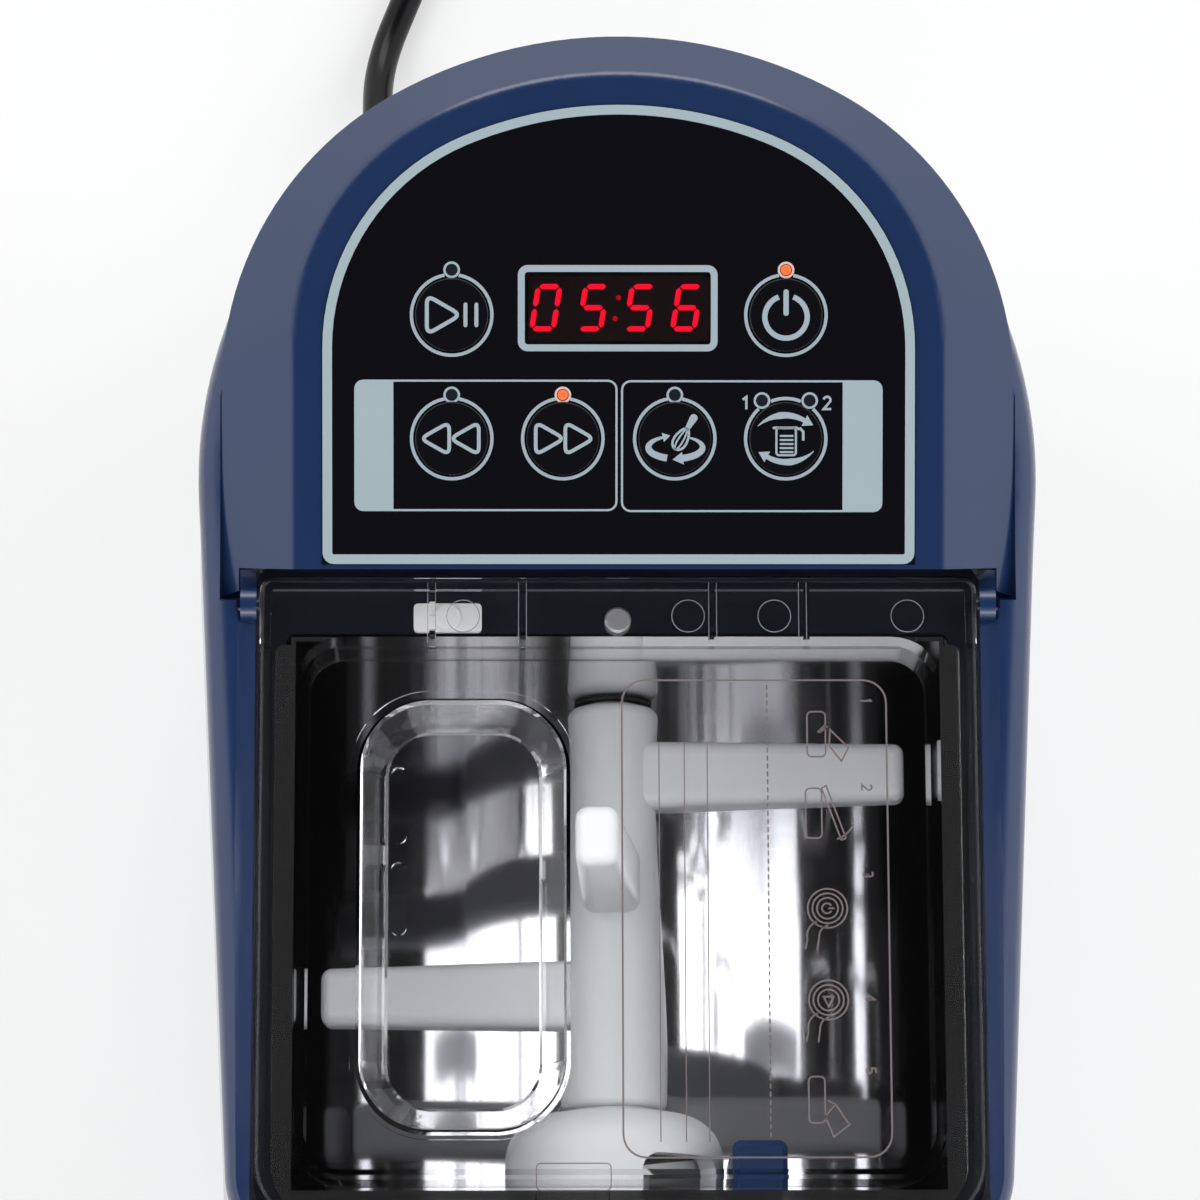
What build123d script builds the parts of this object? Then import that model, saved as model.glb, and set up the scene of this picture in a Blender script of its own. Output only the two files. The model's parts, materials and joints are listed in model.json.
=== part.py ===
"""Electric pasta maker: a mixing chamber under a clear lid, a feed screw with its die, and a geared motor.

Millimetres. X runs to the right, +Y to the back and +Z up; the front is -Y. The origin is on the table,
under the middle of the machine without its cord.
"""

import math
import os

from build123d import *

os.makedirs("parts", exist_ok=True)

# ---------------------------------------------------------------- driving dimensions

gap = 0.3  # free space between pieces that move past each other
wall = 2.6  # moulded casing walls

# plan of the body: a round back that narrows to a front with round corners
back_radius = 92.5
back_centre_y = 53.0
front_half = 85.0
front_y = -118.0
front_corner = 18.0

# heights
foot_height = 4.0
casing_bottom = 3.5
casing_split = 230.0
deck_z = 250.0
deck_fillet = 6.0
ledge_z = 237.6

# sections of the lower casing: height, and how far the plan has grown there
foot_grow = 2.0
casing_sections = ((casing_bottom, foot_grow), (60.0, 6.0), (150.0, 5.0), (casing_split, 0.0))

# the sloping control panel, which starts at the back of the lid
panel_y = 30.6
panel_z = 257.0
panel_slope = 15.0
cover_depth = 10.0  # from the panel's plane down to the cover's lower edge
film_recess = 0.5
film_thick = 0.8

# arches of the cover: half width, front edge, top of the crown, crown radius and shoulder radius
hood_base = (87.0, -6.5, 116.5, 101.5, 73.0)
hood_seat = (87.35, -0.4, 116.85, 101.85, 73.35)
hood_top = (71.0, 0.0, 107.6, 92.6, 55.0)
hood_inner_base = (85.6, 9.0, 115.1, 100.1, 71.6)
hood_inner_top = (72.5, 9.0, 109.1, 94.1, 56.5)
hood_way = (80.0, 6.5, 109.0, 94.0, 66.0)
film_arch = (64.6, 1.1, 101.1, 88.0, 50.0)
film_seat = (64.7, 1.0, 101.2, 88.1, 50.1)

# the drive shaft, the mixing trough and what turns in it
shaft_z = 168.0
shaft_radius = 6.0
trough_radius = 71.0
trough_front = -103.0
trough_back = 18.5
sheet = 1.0
rod_rear = 17.3
rod_front = -77.0
arm_reach = 67.5
rod_turn = 4.0  # how far the rod has stopped past level
arm_stations = (1.0, -24.5, -50.0, -68.0)

# feed screw, barrel, die and ring
barrel_radius = 25.0
barrel_bore = 20.3
barrel_rear = -78.0
barrel_front = -136.0
screw_radius = 19.8
screw_core = 8.0
screw_pitch = 18.0
neck_radius = 29.5
lug_radius = 32.6
lug_width = 16.0
die_radius = 27.5
die_thick = 8.0
ring_radius = 40.0
ring_front = -152.0

# lid
lid_half = 78.5
lid_front = -112.0
lid_rear = 30.2
lid_top = 251.5
lid_thick = 2.8
hinge_y = 24.5
hinge_z = 248.6
trunnion_radius = 1.6
skirt_half = 70.2
skirt_front = -101.8
skirt_rear = 17.2
inlet_x = (-56.0, -11.6)
inlet_y = (-91.4, 2.2)
inlet_depth = 9.0

# gear train: the motor pinion drives the idler, whose pinion drives the output gear
first_module = 1.5
first_pinion_teeth = 12
first_gear_teeth = 60
second_module = 2.0
second_pinion_teeth = 13
second_gear_teeth = 52
motor_z = 56.0
pinion_bore = 4.0
idler_bore = 5.0

# control keys on the panel, in the panel's own plane: x, and the distance up the slope
key_radius = 8.0
key_places = {
    "key_start_pause": (-36.4, 55.4),
    "key_power": (36.4, 55.4),
    "key_backward": (-36.4, 28.5),
    "key_forward": (-12.2, 28.5),
    "key_mixing": (12.2, 28.5),
    "key_batch": (36.4, 28.5),
}
lamp_radius = 1.2
lamp_places = [
    (-36.4, 65.2),
    (36.4, 65.2),
    (-36.4, 38.0),
    (-12.2, 38.0),
    (12.2, 38.0),
    (31.2, 36.8),
    (41.6, 36.8),
]
window_centre = (0.0, 56.8)
window_size = (40.2, 15.2)

# mains cord
cord_diameter = 8.0
cord_length = 1050.0
gland_x = -58.0
gland_z = 22.0
gland_face_y = 138.0
relief_end_y = 168.0
coil_centre = (4.0, 316.0)
coil_radius = 44.0
coil_width = 16.0

# ---------------------------------------------------------------- frames and outlines

panel_plane = Plane(
    origin=(0, panel_y, panel_z),
    x_dir=(1, 0, 0),
    z_dir=(0, -math.sin(math.radians(panel_slope)), math.cos(math.radians(panel_slope))),
)


def facing_front(y):
    """Plane square to the shaft at depth y: X to the right, Z up, and positive lengths run to the front."""
    return Plane.XZ.offset(-y)


def panel_level(height):
    """Plane parallel to the panel, a height above it."""
    return panel_plane.offset(height)


def casing_outline(grow=0.0):
    """Plan of the body, grown or shrunk evenly."""
    with Locations((0, back_centre_y)):
        Circle(back_radius + grow)
    corner_y = front_y + front_corner
    corner_x = front_half - front_corner
    with Locations((-corner_x, corner_y), (corner_x, corner_y)):
        Circle(front_corner + grow)
    make_hull()


def arch_outline(half_width, front, crown_top, crown_radius, shoulder_radius):
    """Straight front and sides under a three-centred arch, drawn from its front edge upwards."""
    crown_y = crown_top - crown_radius
    shoulder_x = half_width - shoulder_radius
    rise = math.sqrt((crown_radius - shoulder_radius) ** 2 - shoulder_x**2)
    shoulder_y = crown_y + rise
    lean = math.atan2(shoulder_x, rise)
    join = (crown_radius * math.sin(lean), crown_y + crown_radius * math.cos(lean))
    turn = math.pi / 4 + lean / 2
    middle = (shoulder_x + shoulder_radius * math.sin(turn), shoulder_y + shoulder_radius * math.cos(turn))
    with BuildLine() as outline:
        Line((-half_width, front), (half_width, front))
        Line((half_width, front), (half_width, shoulder_y))
        ThreePointArc((half_width, shoulder_y), middle, join)
        ThreePointArc(join, (0, crown_top), (-join[0], join[1]))
        ThreePointArc((-join[0], join[1]), (-middle[0], middle[1]), (-half_width, shoulder_y))
        Line((-half_width, shoulder_y), (-half_width, front))
    make_face(outline.edges())


def slab(half_x, y_low, y_high, corner):
    """Rounded rectangle in plan, symmetric about the middle of the machine."""
    with Locations((0, (y_low + y_high) / 2)):
        RectangleRounded(2 * half_x, y_high - y_low, corner)


def front_rounded(half_x, y_low, y_high, front_corner_radius, rear_corner_radius):
    """Plan with large corners at the front and small ones at the back."""
    for corner_y, corner in (
        (y_low + front_corner_radius, front_corner_radius),
        (y_high - rear_corner_radius, rear_corner_radius),
    ):
        with Locations((half_x - corner, corner_y), (corner - half_x, corner_y)):
            Circle(corner)
    make_hull()


def u_outline(radius, top):
    """Section of the trough: half a circle about the shaft with straight sides up to a height."""
    with BuildLine() as outline:
        Line((-radius, top), (-radius, shaft_z))
        ThreePointArc((-radius, shaft_z), (0, shaft_z - radius), (radius, shaft_z))
        Line((radius, shaft_z), (radius, top))
        Line((radius, top), (-radius, top))
    make_face(outline.edges())


def gear_face(teeth, module, turn):
    """Stub involute teeth, one centred on the angle turn in degrees, thinned for backlash."""
    pitch_radius = teeth * module / 2
    base_radius = pitch_radius * math.cos(math.radians(20))
    thin = 0.16 / pitch_radius
    root = pitch_radius - 1.05 * module
    tip = pitch_radius + 0.8 * module

    def half_angle(radius):
        """Half of a tooth's angle at a radius."""
        involute = 0.0
        if radius > base_radius:
            angle = math.acos(base_radius / radius)
            involute = math.tan(angle) - angle
        at_pitch = math.tan(math.radians(20)) - math.radians(20)
        return math.pi / (2 * teeth) - thin + at_pitch - involute

    flank = [max(root, base_radius), pitch_radius, tip]
    points = []
    for tooth in range(teeth):
        centre = math.radians(turn) + 2 * math.pi * tooth / teeth
        corners = [(root, -half_angle(flank[0]))] + [(r, -half_angle(r)) for r in flank]
        corners += [(r, half_angle(r)) for r in reversed(flank)] + [(root, half_angle(flank[0]))]
        if root > base_radius:
            corners = corners[1:-1]
        points += [(r * math.cos(centre + a), r * math.sin(centre + a)) for r, a in corners]
    return Face(Wire.make_polygon(points, close=True))


def angle_between(start, end):
    """Direction in degrees from one axis to another, in the plane that faces the front."""
    return math.degrees(math.atan2(end[1] - start[1], end[0] - start[0]))


# ---------------------------------------------------------------- lower body

with BuildPart() as lower_casing:
    for height, grow in casing_sections:
        with BuildSketch(Plane.XY.offset(height)):
            casing_outline(grow)
    loft()
    for height, grow in casing_sections:
        with BuildSketch(Plane.XY.offset(height)):
            casing_outline(grow - wall)
    loft(mode=Mode.SUBTRACT)
    # window for the front panel
    with BuildSketch(facing_front(front_y + 20)):
        with Locations((0, 162)):
            RectangleRounded(124, 126, 20)
    extrude(amount=60, mode=Mode.SUBTRACT)
    # air slots in the back wall, behind the fan
    with BuildSketch(facing_front(back_centre_y + 60)):
        with Locations((0, motor_z)):
            with GridLocations(0, 8, 1, 7):
                SlotOverall(62, 3.6)
    extrude(amount=-60, mode=Mode.SUBTRACT)
    # boss and hole for the cord's strain relief
    with BuildSketch(facing_front(gland_face_y)):
        with Locations((gland_x, gland_z)):
            Circle(11)
    extrude(until=Until.NEXT)
    with BuildSketch(facing_front(gland_face_y + 1)):
        with Locations((gland_x, gland_z)):
            Circle(7)
    extrude(amount=40, mode=Mode.SUBTRACT)

plate_bottom = foot_height
plate_top = 7.0
screw_places = [(-70, -60), (70, -60), (-76, 40), (76, 40), (-58, 114), (58, 114)]
with BuildPart() as base_plate:
    with BuildSketch(Plane.XY.offset(plate_bottom)):
        casing_outline(foot_grow - wall - gap)
    extrude(amount=plate_top - plate_bottom)
    # stiffening ribs and the raised frame under the motor
    with BuildSketch(Plane.XY.offset(plate_top)):
        with GridLocations(46, 0, 3, 1):
            Rectangle(2, 150)
        with Locations((0, -20), (0, 30)):
            Rectangle(120, 2)
    extrude(amount=6)
    # air slots below the motor, and the screw holes
    with BuildSketch(Plane.XY.offset(plate_bottom)):
        with Locations((0, 98)):
            with GridLocations(9, 0, 9, 1):
                SlotOverall(34, 3.2, rotation=90)
        with Locations(*screw_places):
            Circle(4)
    extrude(amount=plate_top - plate_bottom, mode=Mode.SUBTRACT)

foot_places = [(-66, -96), (66, -96), (-66, 84), (66, 84)]
with BuildPart() as rubber_feet:
    with BuildSketch(Plane.XY):
        with Locations(*foot_places):
            Circle(11)
    extrude(amount=foot_height, taper=-3)
    with BuildSketch(Plane.XY):
        with Locations(*foot_places):
            Circle(4.5)
    extrude(amount=2, mode=Mode.SUBTRACT)

with BuildPart() as base_screws:
    with BuildSketch(Plane.XY.offset(plate_bottom)):
        with Locations(*screw_places):
            Circle(3.6)
            Rectangle(4, 1, mode=Mode.SUBTRACT)
            Rectangle(1, 4, mode=Mode.SUBTRACT)
    extrude(amount=1)
    with BuildSketch(Plane.XY.offset(plate_bottom + 1)):
        with Locations(*screw_places):
            Circle(3.6)
    extrude(amount=1.6)
    with BuildSketch(Plane.XY.offset(plate_bottom + 2.6)):
        with Locations(*screw_places):
            Circle(1.6)
    extrude(amount=12)

panel_face_y = front_y - 7.6
collar_depth = 4.4
with BuildPart() as front_panel:
    with BuildSketch(facing_front(panel_face_y + 8)):
        with Locations((0, 162)):
            RectangleRounded(123.2, 125.2, 19.6)
    extrude(amount=8)
    with BuildSketch(facing_front(panel_face_y + 8)):
        with Locations((0, 162)):
            RectangleRounded(118, 120, 17)
    extrude(amount=5, mode=Mode.SUBTRACT)
    fillet(front_panel.faces().sort_by(Axis.Y)[0].edges(), 2)
    with BuildSketch(facing_front(panel_face_y)):
        with Locations((0, shaft_z)):
            Circle(44)
    extrude(amount=collar_depth)
    with BuildSketch(facing_front(panel_face_y + 8)):
        with Locations((0, shaft_z)):
            Circle(neck_radius + 1.0)
    extrude(amount=16, mode=Mode.SUBTRACT)

# ---------------------------------------------------------------- upper body

recess_half = lid_half + 0.7
recess_front = lid_front - 0.8
recess_rear = 33.6
ear_outer = 82.7
cheek_inner = 83.2
slope_tangent = math.tan(math.radians(panel_slope))
slope_start = panel_y + (deck_z - panel_z + cover_depth) / slope_tangent
slope_end = 170.0
recess_corner = 12.0
recess_rear_corner = 3.0
recess_bevel = 4.5


def recess_outline():
    """Plan of the lid's recess: large corners at the front, small ones where the lid tilts past."""
    slab(recess_half, recess_front, recess_rear, recess_corner)
    slab(recess_half, 0, recess_rear, recess_rear_corner)


def above_deck(drop):
    """Side view of all that lies above the deck and the slope behind it, lowered by drop."""
    low = deck_z - drop
    front = -150
    high = 330
    slope_top = (slope_end, low + (slope_end - slope_start) * slope_tangent)
    with BuildLine() as outline:
        FilletPolyline((front, low), (slope_start, low), slope_top, radius=120)
        Polyline(slope_top, (slope_end, high), (front, high), (front, low))
    make_face(outline.edges())


# the free space inside the upper casing, round the lid's recess and under the cover
with BuildPart() as upper_hollow:
    with BuildSketch(Plane.XY.offset(casing_split - 1)):
        casing_outline(-wall)
    extrude(amount=70)
    with BuildSketch(Plane.YZ):
        above_deck(7.0)
    extrude(amount=150, both=True, mode=Mode.SUBTRACT)
    with BuildSketch(Plane.XY.offset(casing_split + 4.6)):
        slab(ear_outer + 1.2, recess_front - wall, recess_rear + wall, 8)
    extrude(amount=60, mode=Mode.SUBTRACT)

with BuildPart() as upper_casing:
    with BuildSketch(Plane.XY.offset(casing_split)):
        casing_outline()
    extrude(amount=70)
    with BuildSketch(Plane.YZ):
        above_deck(0.0)
    extrude(amount=150, both=True, mode=Mode.SUBTRACT)
    walls = upper_casing.faces().filter_by(lambda face: abs(face.normal_at().Z) < 0.05)
    tops = upper_casing.faces().filter_by(lambda face: face.normal_at().Z > 0.9)
    shoulder = ShapeList(edge for edge in tops.edges() if any(edge.is_same(other) for other in walls.edges()))
    fillet(shoulder, deck_fillet)
    add(upper_hollow.part, mode=Mode.SUBTRACT)
    # recess for the lid, with a bevel that leads in from the deck
    with BuildSketch(Plane.XY.offset(ledge_z)):
        recess_outline()
    extrude(amount=40, mode=Mode.SUBTRACT)
    with BuildSketch(Plane.XY.offset(deck_z - recess_bevel)):
        recess_outline()
    extrude(amount=9, taper=-43, mode=Mode.SUBTRACT)
    # opening over the mixing trough
    with BuildSketch(Plane.XY.offset(casing_split)):
        slab(trough_radius + 2.2, trough_front - 2.2, trough_back + 1.7, 2)
    extrude(amount=20, mode=Mode.SUBTRACT)
    # seat of the cover, with its two cheeks beside the lid
    with BuildSketch(panel_level(-cover_depth - gap)):
        arch_outline(*hood_seat)
        for side in (-1, 1):
            with Locations((side * (cheek_inner - gap + hood_seat[0]) / 2, -3.4)):
                Rectangle(hood_seat[0] - cheek_inner + gap, 7)
    extrude(amount=40, mode=Mode.SUBTRACT)
    # way down from the cover into the body
    with BuildSketch(panel_level(-cover_depth - 8)):
        arch_outline(*hood_way)
    extrude(amount=30, mode=Mode.SUBTRACT)
    # ears that carry the lid's trunnions
    for side in (-1, 1):
        with BuildSketch(Plane.YZ.offset(side * (recess_half + ear_outer) / 2)):
            with Locations((hinge_y, (deck_z - 8 + hinge_z) / 2)):
                Rectangle(7.6, hinge_z - deck_z + 8)
            with Locations((hinge_y, hinge_z)):
                Circle(3.8)
        extrude(amount=(ear_outer - recess_half) / 2, both=True)
    with BuildSketch(Plane.YZ):
        with Locations((hinge_y, hinge_z)):
            Circle(trunnion_radius + 0.1)
    extrude(amount=ear_outer + 1, both=True, mode=Mode.SUBTRACT)
    # holes in the ledge for the interlock plunger and the steel pin
    with BuildSketch(Plane.XY.offset(casing_split)):
        with Locations((-37.5, 23.4)):
            Circle(2.8)
        with Locations((0, 22.6)):
            Circle(2.0)
    extrude(amount=12, mode=Mode.SUBTRACT)

with BuildPart() as control_hood:
    with BuildSketch(panel_level(-cover_depth)):
        arch_outline(*hood_base)
    with BuildSketch(panel_level(0)):
        arch_outline(*hood_top)
    loft()
    top_face = control_hood.faces().sort_by(Axis((0, 0, 0), tuple(panel_plane.z_dir)))[-1]
    panel_front_edge = top_face.edges().sort_by(Axis.Y)[0]
    fillet(top_face.edges() - [panel_front_edge], 3.2)
    with BuildSketch(panel_level(-cover_depth - 1)):
        arch_outline(*hood_inner_base)
    with BuildSketch(panel_level(-film_recess - 2.7)):
        arch_outline(*hood_inner_top)
    loft(mode=Mode.SUBTRACT)
    # room for the lid's back edge between the cheeks
    with BuildSketch(panel_level(-cover_depth - 1)):
        with Locations((0, -15)):
            Rectangle(2 * cheek_inner, 30)
    extrude(amount=30, mode=Mode.SUBTRACT)
    # recess for the film, and holes for what comes up through the panel
    with BuildSketch(panel_level(-film_recess)):
        arch_outline(*film_seat)
    extrude(amount=5, mode=Mode.SUBTRACT)
    with BuildSketch(panel_level(-6)):
        with Locations(*key_places.values()):
            Circle(key_radius + 0.4)
        with Locations(*lamp_places):
            Circle(lamp_radius + 0.3)
        with Locations(window_centre):
            RectangleRounded(window_size[0] + 0.6, window_size[1] + 0.6, 1.8)
    extrude(amount=10, mode=Mode.SUBTRACT)
    # bosses that carry the control board
    with BuildSketch(panel_level(-film_recess - 2.7)):
        with Locations((-50, 16), (50, 16), (-50, 84), (50, 84)):
            Circle(3)
    extrude(amount=-4.2)

# ---------------------------------------------------------------- control panel

with BuildPart() as overlay_film:
    with BuildSketch(panel_level(-film_recess)):
        arch_outline(*film_arch)
        with Locations(*key_places.values()):
            Circle(key_radius + gap, mode=Mode.SUBTRACT)
        with Locations(*lamp_places):
            Circle(lamp_radius + 0.1, mode=Mode.SUBTRACT)
        with Locations(window_centre):
            RectangleRounded(*window_size, 1.5, mode=Mode.SUBTRACT)
    extrude(amount=film_thick)

keys = {}
for key_name, key_place in key_places.items():
    with BuildPart() as key:
        with BuildSketch(panel_level(-2.5)):
            with Locations(key_place):
                Circle(key_radius)
        extrude(amount=3.2)
        chamfer(key.faces().sort_by(Axis.Z)[-1].edges(), 0.25)
        with BuildSketch(panel_level(-5.4)):
            with Locations(key_place):
                Circle(2.5)
        extrude(amount=2.9)
    keys[key_name] = key

with BuildPart() as display_window:
    with BuildSketch(panel_level(-0.6)):
        with Locations(window_centre):
            RectangleRounded(window_size[0] - 0.1, window_size[1] - 0.1, 1.45)
    extrude(amount=0.95)

with BuildPart() as led_display:
    with BuildSketch(panel_level(-7.4)):
        with Locations(window_centre):
            Rectangle(window_size[0] - 0.6, window_size[1] - 0.6)
    extrude(amount=6.6)
    # shallow wells of the four digits
    with BuildSketch(panel_level(-1.2)):
        with Locations(window_centre):
            with Locations((-14.1, 0), (-5.2, 0), (4.6, 0), (13.9, 0)):
                Rectangle(7, 11.4)
    extrude(amount=2, mode=Mode.SUBTRACT)

with BuildPart() as indicator_lamps:
    with BuildSketch(panel_level(-7.4)):
        with Locations(*lamp_places):
            Circle(lamp_radius)
    extrude(amount=7.75)

board_top = -7.4
with BuildPart() as control_board:
    with BuildSketch(panel_level(board_top - 1.6)):
        with Locations((0, 50)):
            Rectangle(114, 82)
    extrude(amount=1.6)
    # chips and connectors under the board
    with BuildSketch(panel_level(board_top - 1.6)):
        with Locations((0, 42)):
            Rectangle(14, 14)
        with Locations((-40, 72), (30, 74)):
            Rectangle(16, 6)
    extrude(amount=-4)

with BuildPart() as key_switches:
    with BuildSketch(panel_level(board_top)):
        with Locations(*key_places.values()):
            Rectangle(6, 6)
    extrude(amount=1.0)
    with BuildSketch(panel_level(board_top + 1.0)):
        with Locations(*key_places.values()):
            Circle(1.7)
    extrude(amount=0.5)

# ---------------------------------------------------------------- mixing chamber

with BuildPart() as mixing_trough:
    with BuildSketch(facing_front(trough_back)):
        u_outline(trough_radius + sheet, ledge_z + sheet)
    extrude(amount=trough_back - trough_front + sheet)
    with BuildSketch(Plane.XY.offset(ledge_z)):
        front_rounded(75.5, trough_front - 5.5, trough_back - 1, 11, 2)
    extrude(amount=sheet)
    with BuildSketch(facing_front(trough_back)):
        u_outline(trough_radius, ledge_z + 2)
    extrude(amount=trough_back - trough_front, mode=Mode.SUBTRACT)
    with BuildSketch(facing_front(trough_front)):
        with Locations((0, shaft_z)):
            Circle(barrel_radius + 0.2)
    extrude(amount=4, mode=Mode.SUBTRACT)

with BuildPart() as trough_back_plate:
    with BuildSketch(facing_front(trough_back + sheet)):
        u_outline(trough_radius + sheet, ledge_z)
        with Locations((0, shaft_z)):
            Circle(9, mode=Mode.SUBTRACT)
    extrude(amount=sheet)

with BuildPart() as mixing_rod:
    with BuildSketch(Plane.YZ):
        with BuildLine():
            Line((rod_front, shaft_z), (rod_rear, shaft_z))
            Line((rod_rear, shaft_z), (rod_rear, shaft_z + 8.2))
            ThreePointArc(
                (rod_rear, shaft_z + 8.2), (rod_rear - 0.7, shaft_z + 9.8), (rod_rear - 2.4, shaft_z + 10.5)
            )
            Spline(
                (rod_rear - 2.4, shaft_z + 10.5),
                (-4, shaft_z + 9.9),
                (-36, shaft_z + 11.2),
                (rod_front + 2.2, shaft_z + 12.2),
            )
            ThreePointArc(
                (rod_front + 2.2, shaft_z + 12.2),
                (rod_front + 0.6, shaft_z + 11.5),
                (rod_front, shaft_z + 10),
            )
            Line((rod_front, shaft_z + 10), (rod_front, shaft_z))
        make_face()
    revolve(axis=Axis((0, 0, shaft_z), (0, 1, 0)))
    for number, station in enumerate(arm_stations):
        angle = math.radians(rod_turn + 90 * number)
        arm_direction = Vector(math.cos(angle), 0, math.sin(angle))
        for reach, width, depth, corner in ((5.0, 15.8, 13.4, 3.2), (arm_reach, 13.4, 9.6, 3.0)):
            arm_origin = Vector(0, station, shaft_z) + arm_direction * reach
            with BuildSketch(Plane(origin=arm_origin, x_dir=(0, 1, 0), z_dir=arm_direction)):
                RectangleRounded(width, depth, corner)
        loft()
    arm_tips = mixing_rod.faces().filter_by(
        lambda face: (face.center() - Vector(0, face.center().Y, shaft_z)).length > arm_reach - 0.01
    )
    fillet(arm_tips.edges(), 2.4)
    # hexagon socket for the drive shaft
    with BuildSketch(facing_front(rod_rear)):
        with Locations((0, shaft_z)):
            RegularPolygon(radius=5.85, side_count=6, rotation=rod_turn)
    extrude(amount=27, mode=Mode.SUBTRACT)

# the feed screw's flight is a blade turned evenly as it is drawn along the axis
flight_rear = -89.0
flight_front = -132.0
flight_turns = (flight_rear - flight_front) / screw_pitch
blade_half = math.radians(24)
blade_root = screw_core - 1
with BuildSketch(facing_front(flight_rear)) as flight_section:
    with BuildLine() as blade_edge:
        blade_corners = [
            (reach * math.cos(side * blade_half), shaft_z + reach * math.sin(side * blade_half))
            for reach, side in ((blade_root, -1), (screw_radius, -1), (screw_radius, 1), (blade_root, 1))
        ]
        Line(blade_corners[0], blade_corners[1])
        ThreePointArc(blade_corners[1], (screw_radius, shaft_z), blade_corners[2])
        Line(blade_corners[2], blade_corners[3])
        Line(blade_corners[3], blade_corners[0])
    make_face(blade_edge.edges())
flight = Solid.extrude_linear_with_rotation(
    flight_section.sketch.face(),
    center=(0, flight_rear, shaft_z),
    normal=(0, flight_front - flight_rear, 0),
    angle=360 * flight_turns,
)

screw_tip_y = barrel_front - 5.0
with BuildPart() as feed_screw:
    for start, end, radius in (
        (rod_front, rod_front - 5.0, 11.0),
        (rod_front - 5.0, flight_front, screw_core),
        (flight_front, screw_tip_y, 4.0),
    ):
        with BuildSketch(facing_front(start)):
            with Locations((0, shaft_z)):
                Circle(radius)
        extrude(amount=start - end)
    add(flight)

with BuildPart() as extrusion_barrel:
    with BuildSketch(Plane.YZ):
        with BuildLine():
            Polyline((-80.4, shaft_z + 13), (barrel_rear, shaft_z + 13), (barrel_rear, shaft_z + 15))
            ThreePointArc(
                (barrel_rear, shaft_z + 15),
                (barrel_rear - 3.2, shaft_z + 22),
                (barrel_rear - 11, shaft_z + barrel_radius),
            )
            Polyline(
                (barrel_rear - 11, shaft_z + barrel_radius),
                (barrel_front + 13, shaft_z + barrel_radius),
                (barrel_front + 13, shaft_z + neck_radius),
                (barrel_front, shaft_z + neck_radius),
                (barrel_front, shaft_z + barrel_bore),
                (barrel_rear - 9.5, shaft_z + barrel_bore),
            )
            Line((barrel_rear - 9.5, shaft_z + barrel_bore), (-80.4, shaft_z + 13))
        make_face()
    revolve(axis=Axis((0, 0, shaft_z), (0, 1, 0)))
    # bayonet lugs on the neck
    with BuildSketch(facing_front(barrel_front + 3.4)):
        with Locations((0, shaft_z)):
            with PolarLocations(neck_radius, 3, start_angle=60):
                Rectangle(2 * (lug_radius - neck_radius) + 2, lug_width)
            Circle(lug_radius, mode=Mode.INTERSECT)
    extrude(amount=3.4)
    # feed windows, where the arms push the dough in
    for window_angle in (50, 230):
        window_direction = math.radians(window_angle)
        window_plane = Plane(
            origin=(0, 0, shaft_z),
            x_dir=(0, -1, 0),
            z_dir=(math.cos(window_direction), 0, math.sin(window_direction)),
        )
        with BuildSketch(window_plane):
            with Locations((-barrel_rear + 17.4, 0)):
                RectangleRounded(13, 22, 4)
        extrude(amount=40, mode=Mode.SUBTRACT)

with BuildPart() as barrel_lock:
    with BuildSketch(Plane.XY.offset(shaft_z - 14)):
        with Locations((32.2, trough_front + 8)):
            RectangleRounded(12.4, 16, 2)
    extrude(amount=44)
    chamfer(barrel_lock.faces().sort_by(Axis.Z)[-1].edges(), 1.2)

with BuildPart() as noodle_die:
    with BuildSketch(facing_front(barrel_front - gap)):
        with Locations((0, shaft_z)):
            Circle(die_radius)
            Circle(4.1, mode=Mode.SUBTRACT)
    extrude(amount=die_thick)
    # flat noodle slots in two rings
    with BuildSketch(facing_front(barrel_front)):
        with Locations((0, shaft_z)):
            with PolarLocations(10.5, 8):
                Rectangle(5.4, 1.8)
            with PolarLocations(17, 14):
                Rectangle(5.4, 1.8)
    extrude(amount=die_thick + 4, mode=Mode.SUBTRACT)

ring_rear = front_y - 12.6
lip_inner_y = barrel_front - gap - die_thick - gap
with BuildPart() as die_ring:
    with BuildSketch(Plane.YZ):
        with BuildLine():
            FilletPolyline(
                (lip_inner_y, shaft_z + lug_radius + 0.6),
                (ring_rear, shaft_z + lug_radius + 0.6),
                (ring_rear, shaft_z + ring_radius),
                (ring_front, shaft_z + ring_radius - 2.4),
                (ring_front, shaft_z + 25),
                (lip_inner_y, shaft_z + 23),
                radius=1.6,
                close=True,
            )
        make_face()
    revolve(axis=Axis((0, 0, shaft_z), (0, 1, 0)))
    # finger scallops round the ring
    with BuildSketch(facing_front(ring_rear + 1)):
        with Locations((0, shaft_z)):
            with PolarLocations(ring_radius + 3.4, 12, start_angle=15):
                Circle(6)
    extrude(amount=ring_rear - ring_front - 3, mode=Mode.SUBTRACT)
    # inner lugs behind those of the barrel
    with BuildSketch(facing_front(ring_rear - 0.2)):
        with Locations((0, shaft_z)):
            with PolarLocations(lug_radius, 3, start_angle=60):
                Rectangle(2 * (lug_radius - neck_radius), lug_width)
            Circle(lug_radius + 1.5, mode=Mode.INTERSECT)
            Circle(neck_radius + 0.5, mode=Mode.SUBTRACT)
    extrude(amount=1.5)

# ---------------------------------------------------------------- lid

inlet_centre = ((inlet_x[0] + inlet_x[1]) / 2, (inlet_y[0] + inlet_y[1]) / 2)
inlet_span = (inlet_x[1] - inlet_x[0], inlet_y[1] - inlet_y[0])
inlet_inset = 5.7
plate_under = lid_top - lid_thick
rim_bottom = ledge_z + 0.5
rim_short = 246.5
rim_end_y = 16.0
rim_wall = 2.4
skirt_bottom = 233.0
skirt_wall = 2.2
rib_bottom = 243.4
press_rib_bottom = 240.9
press_rib_x = -40.7


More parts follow.
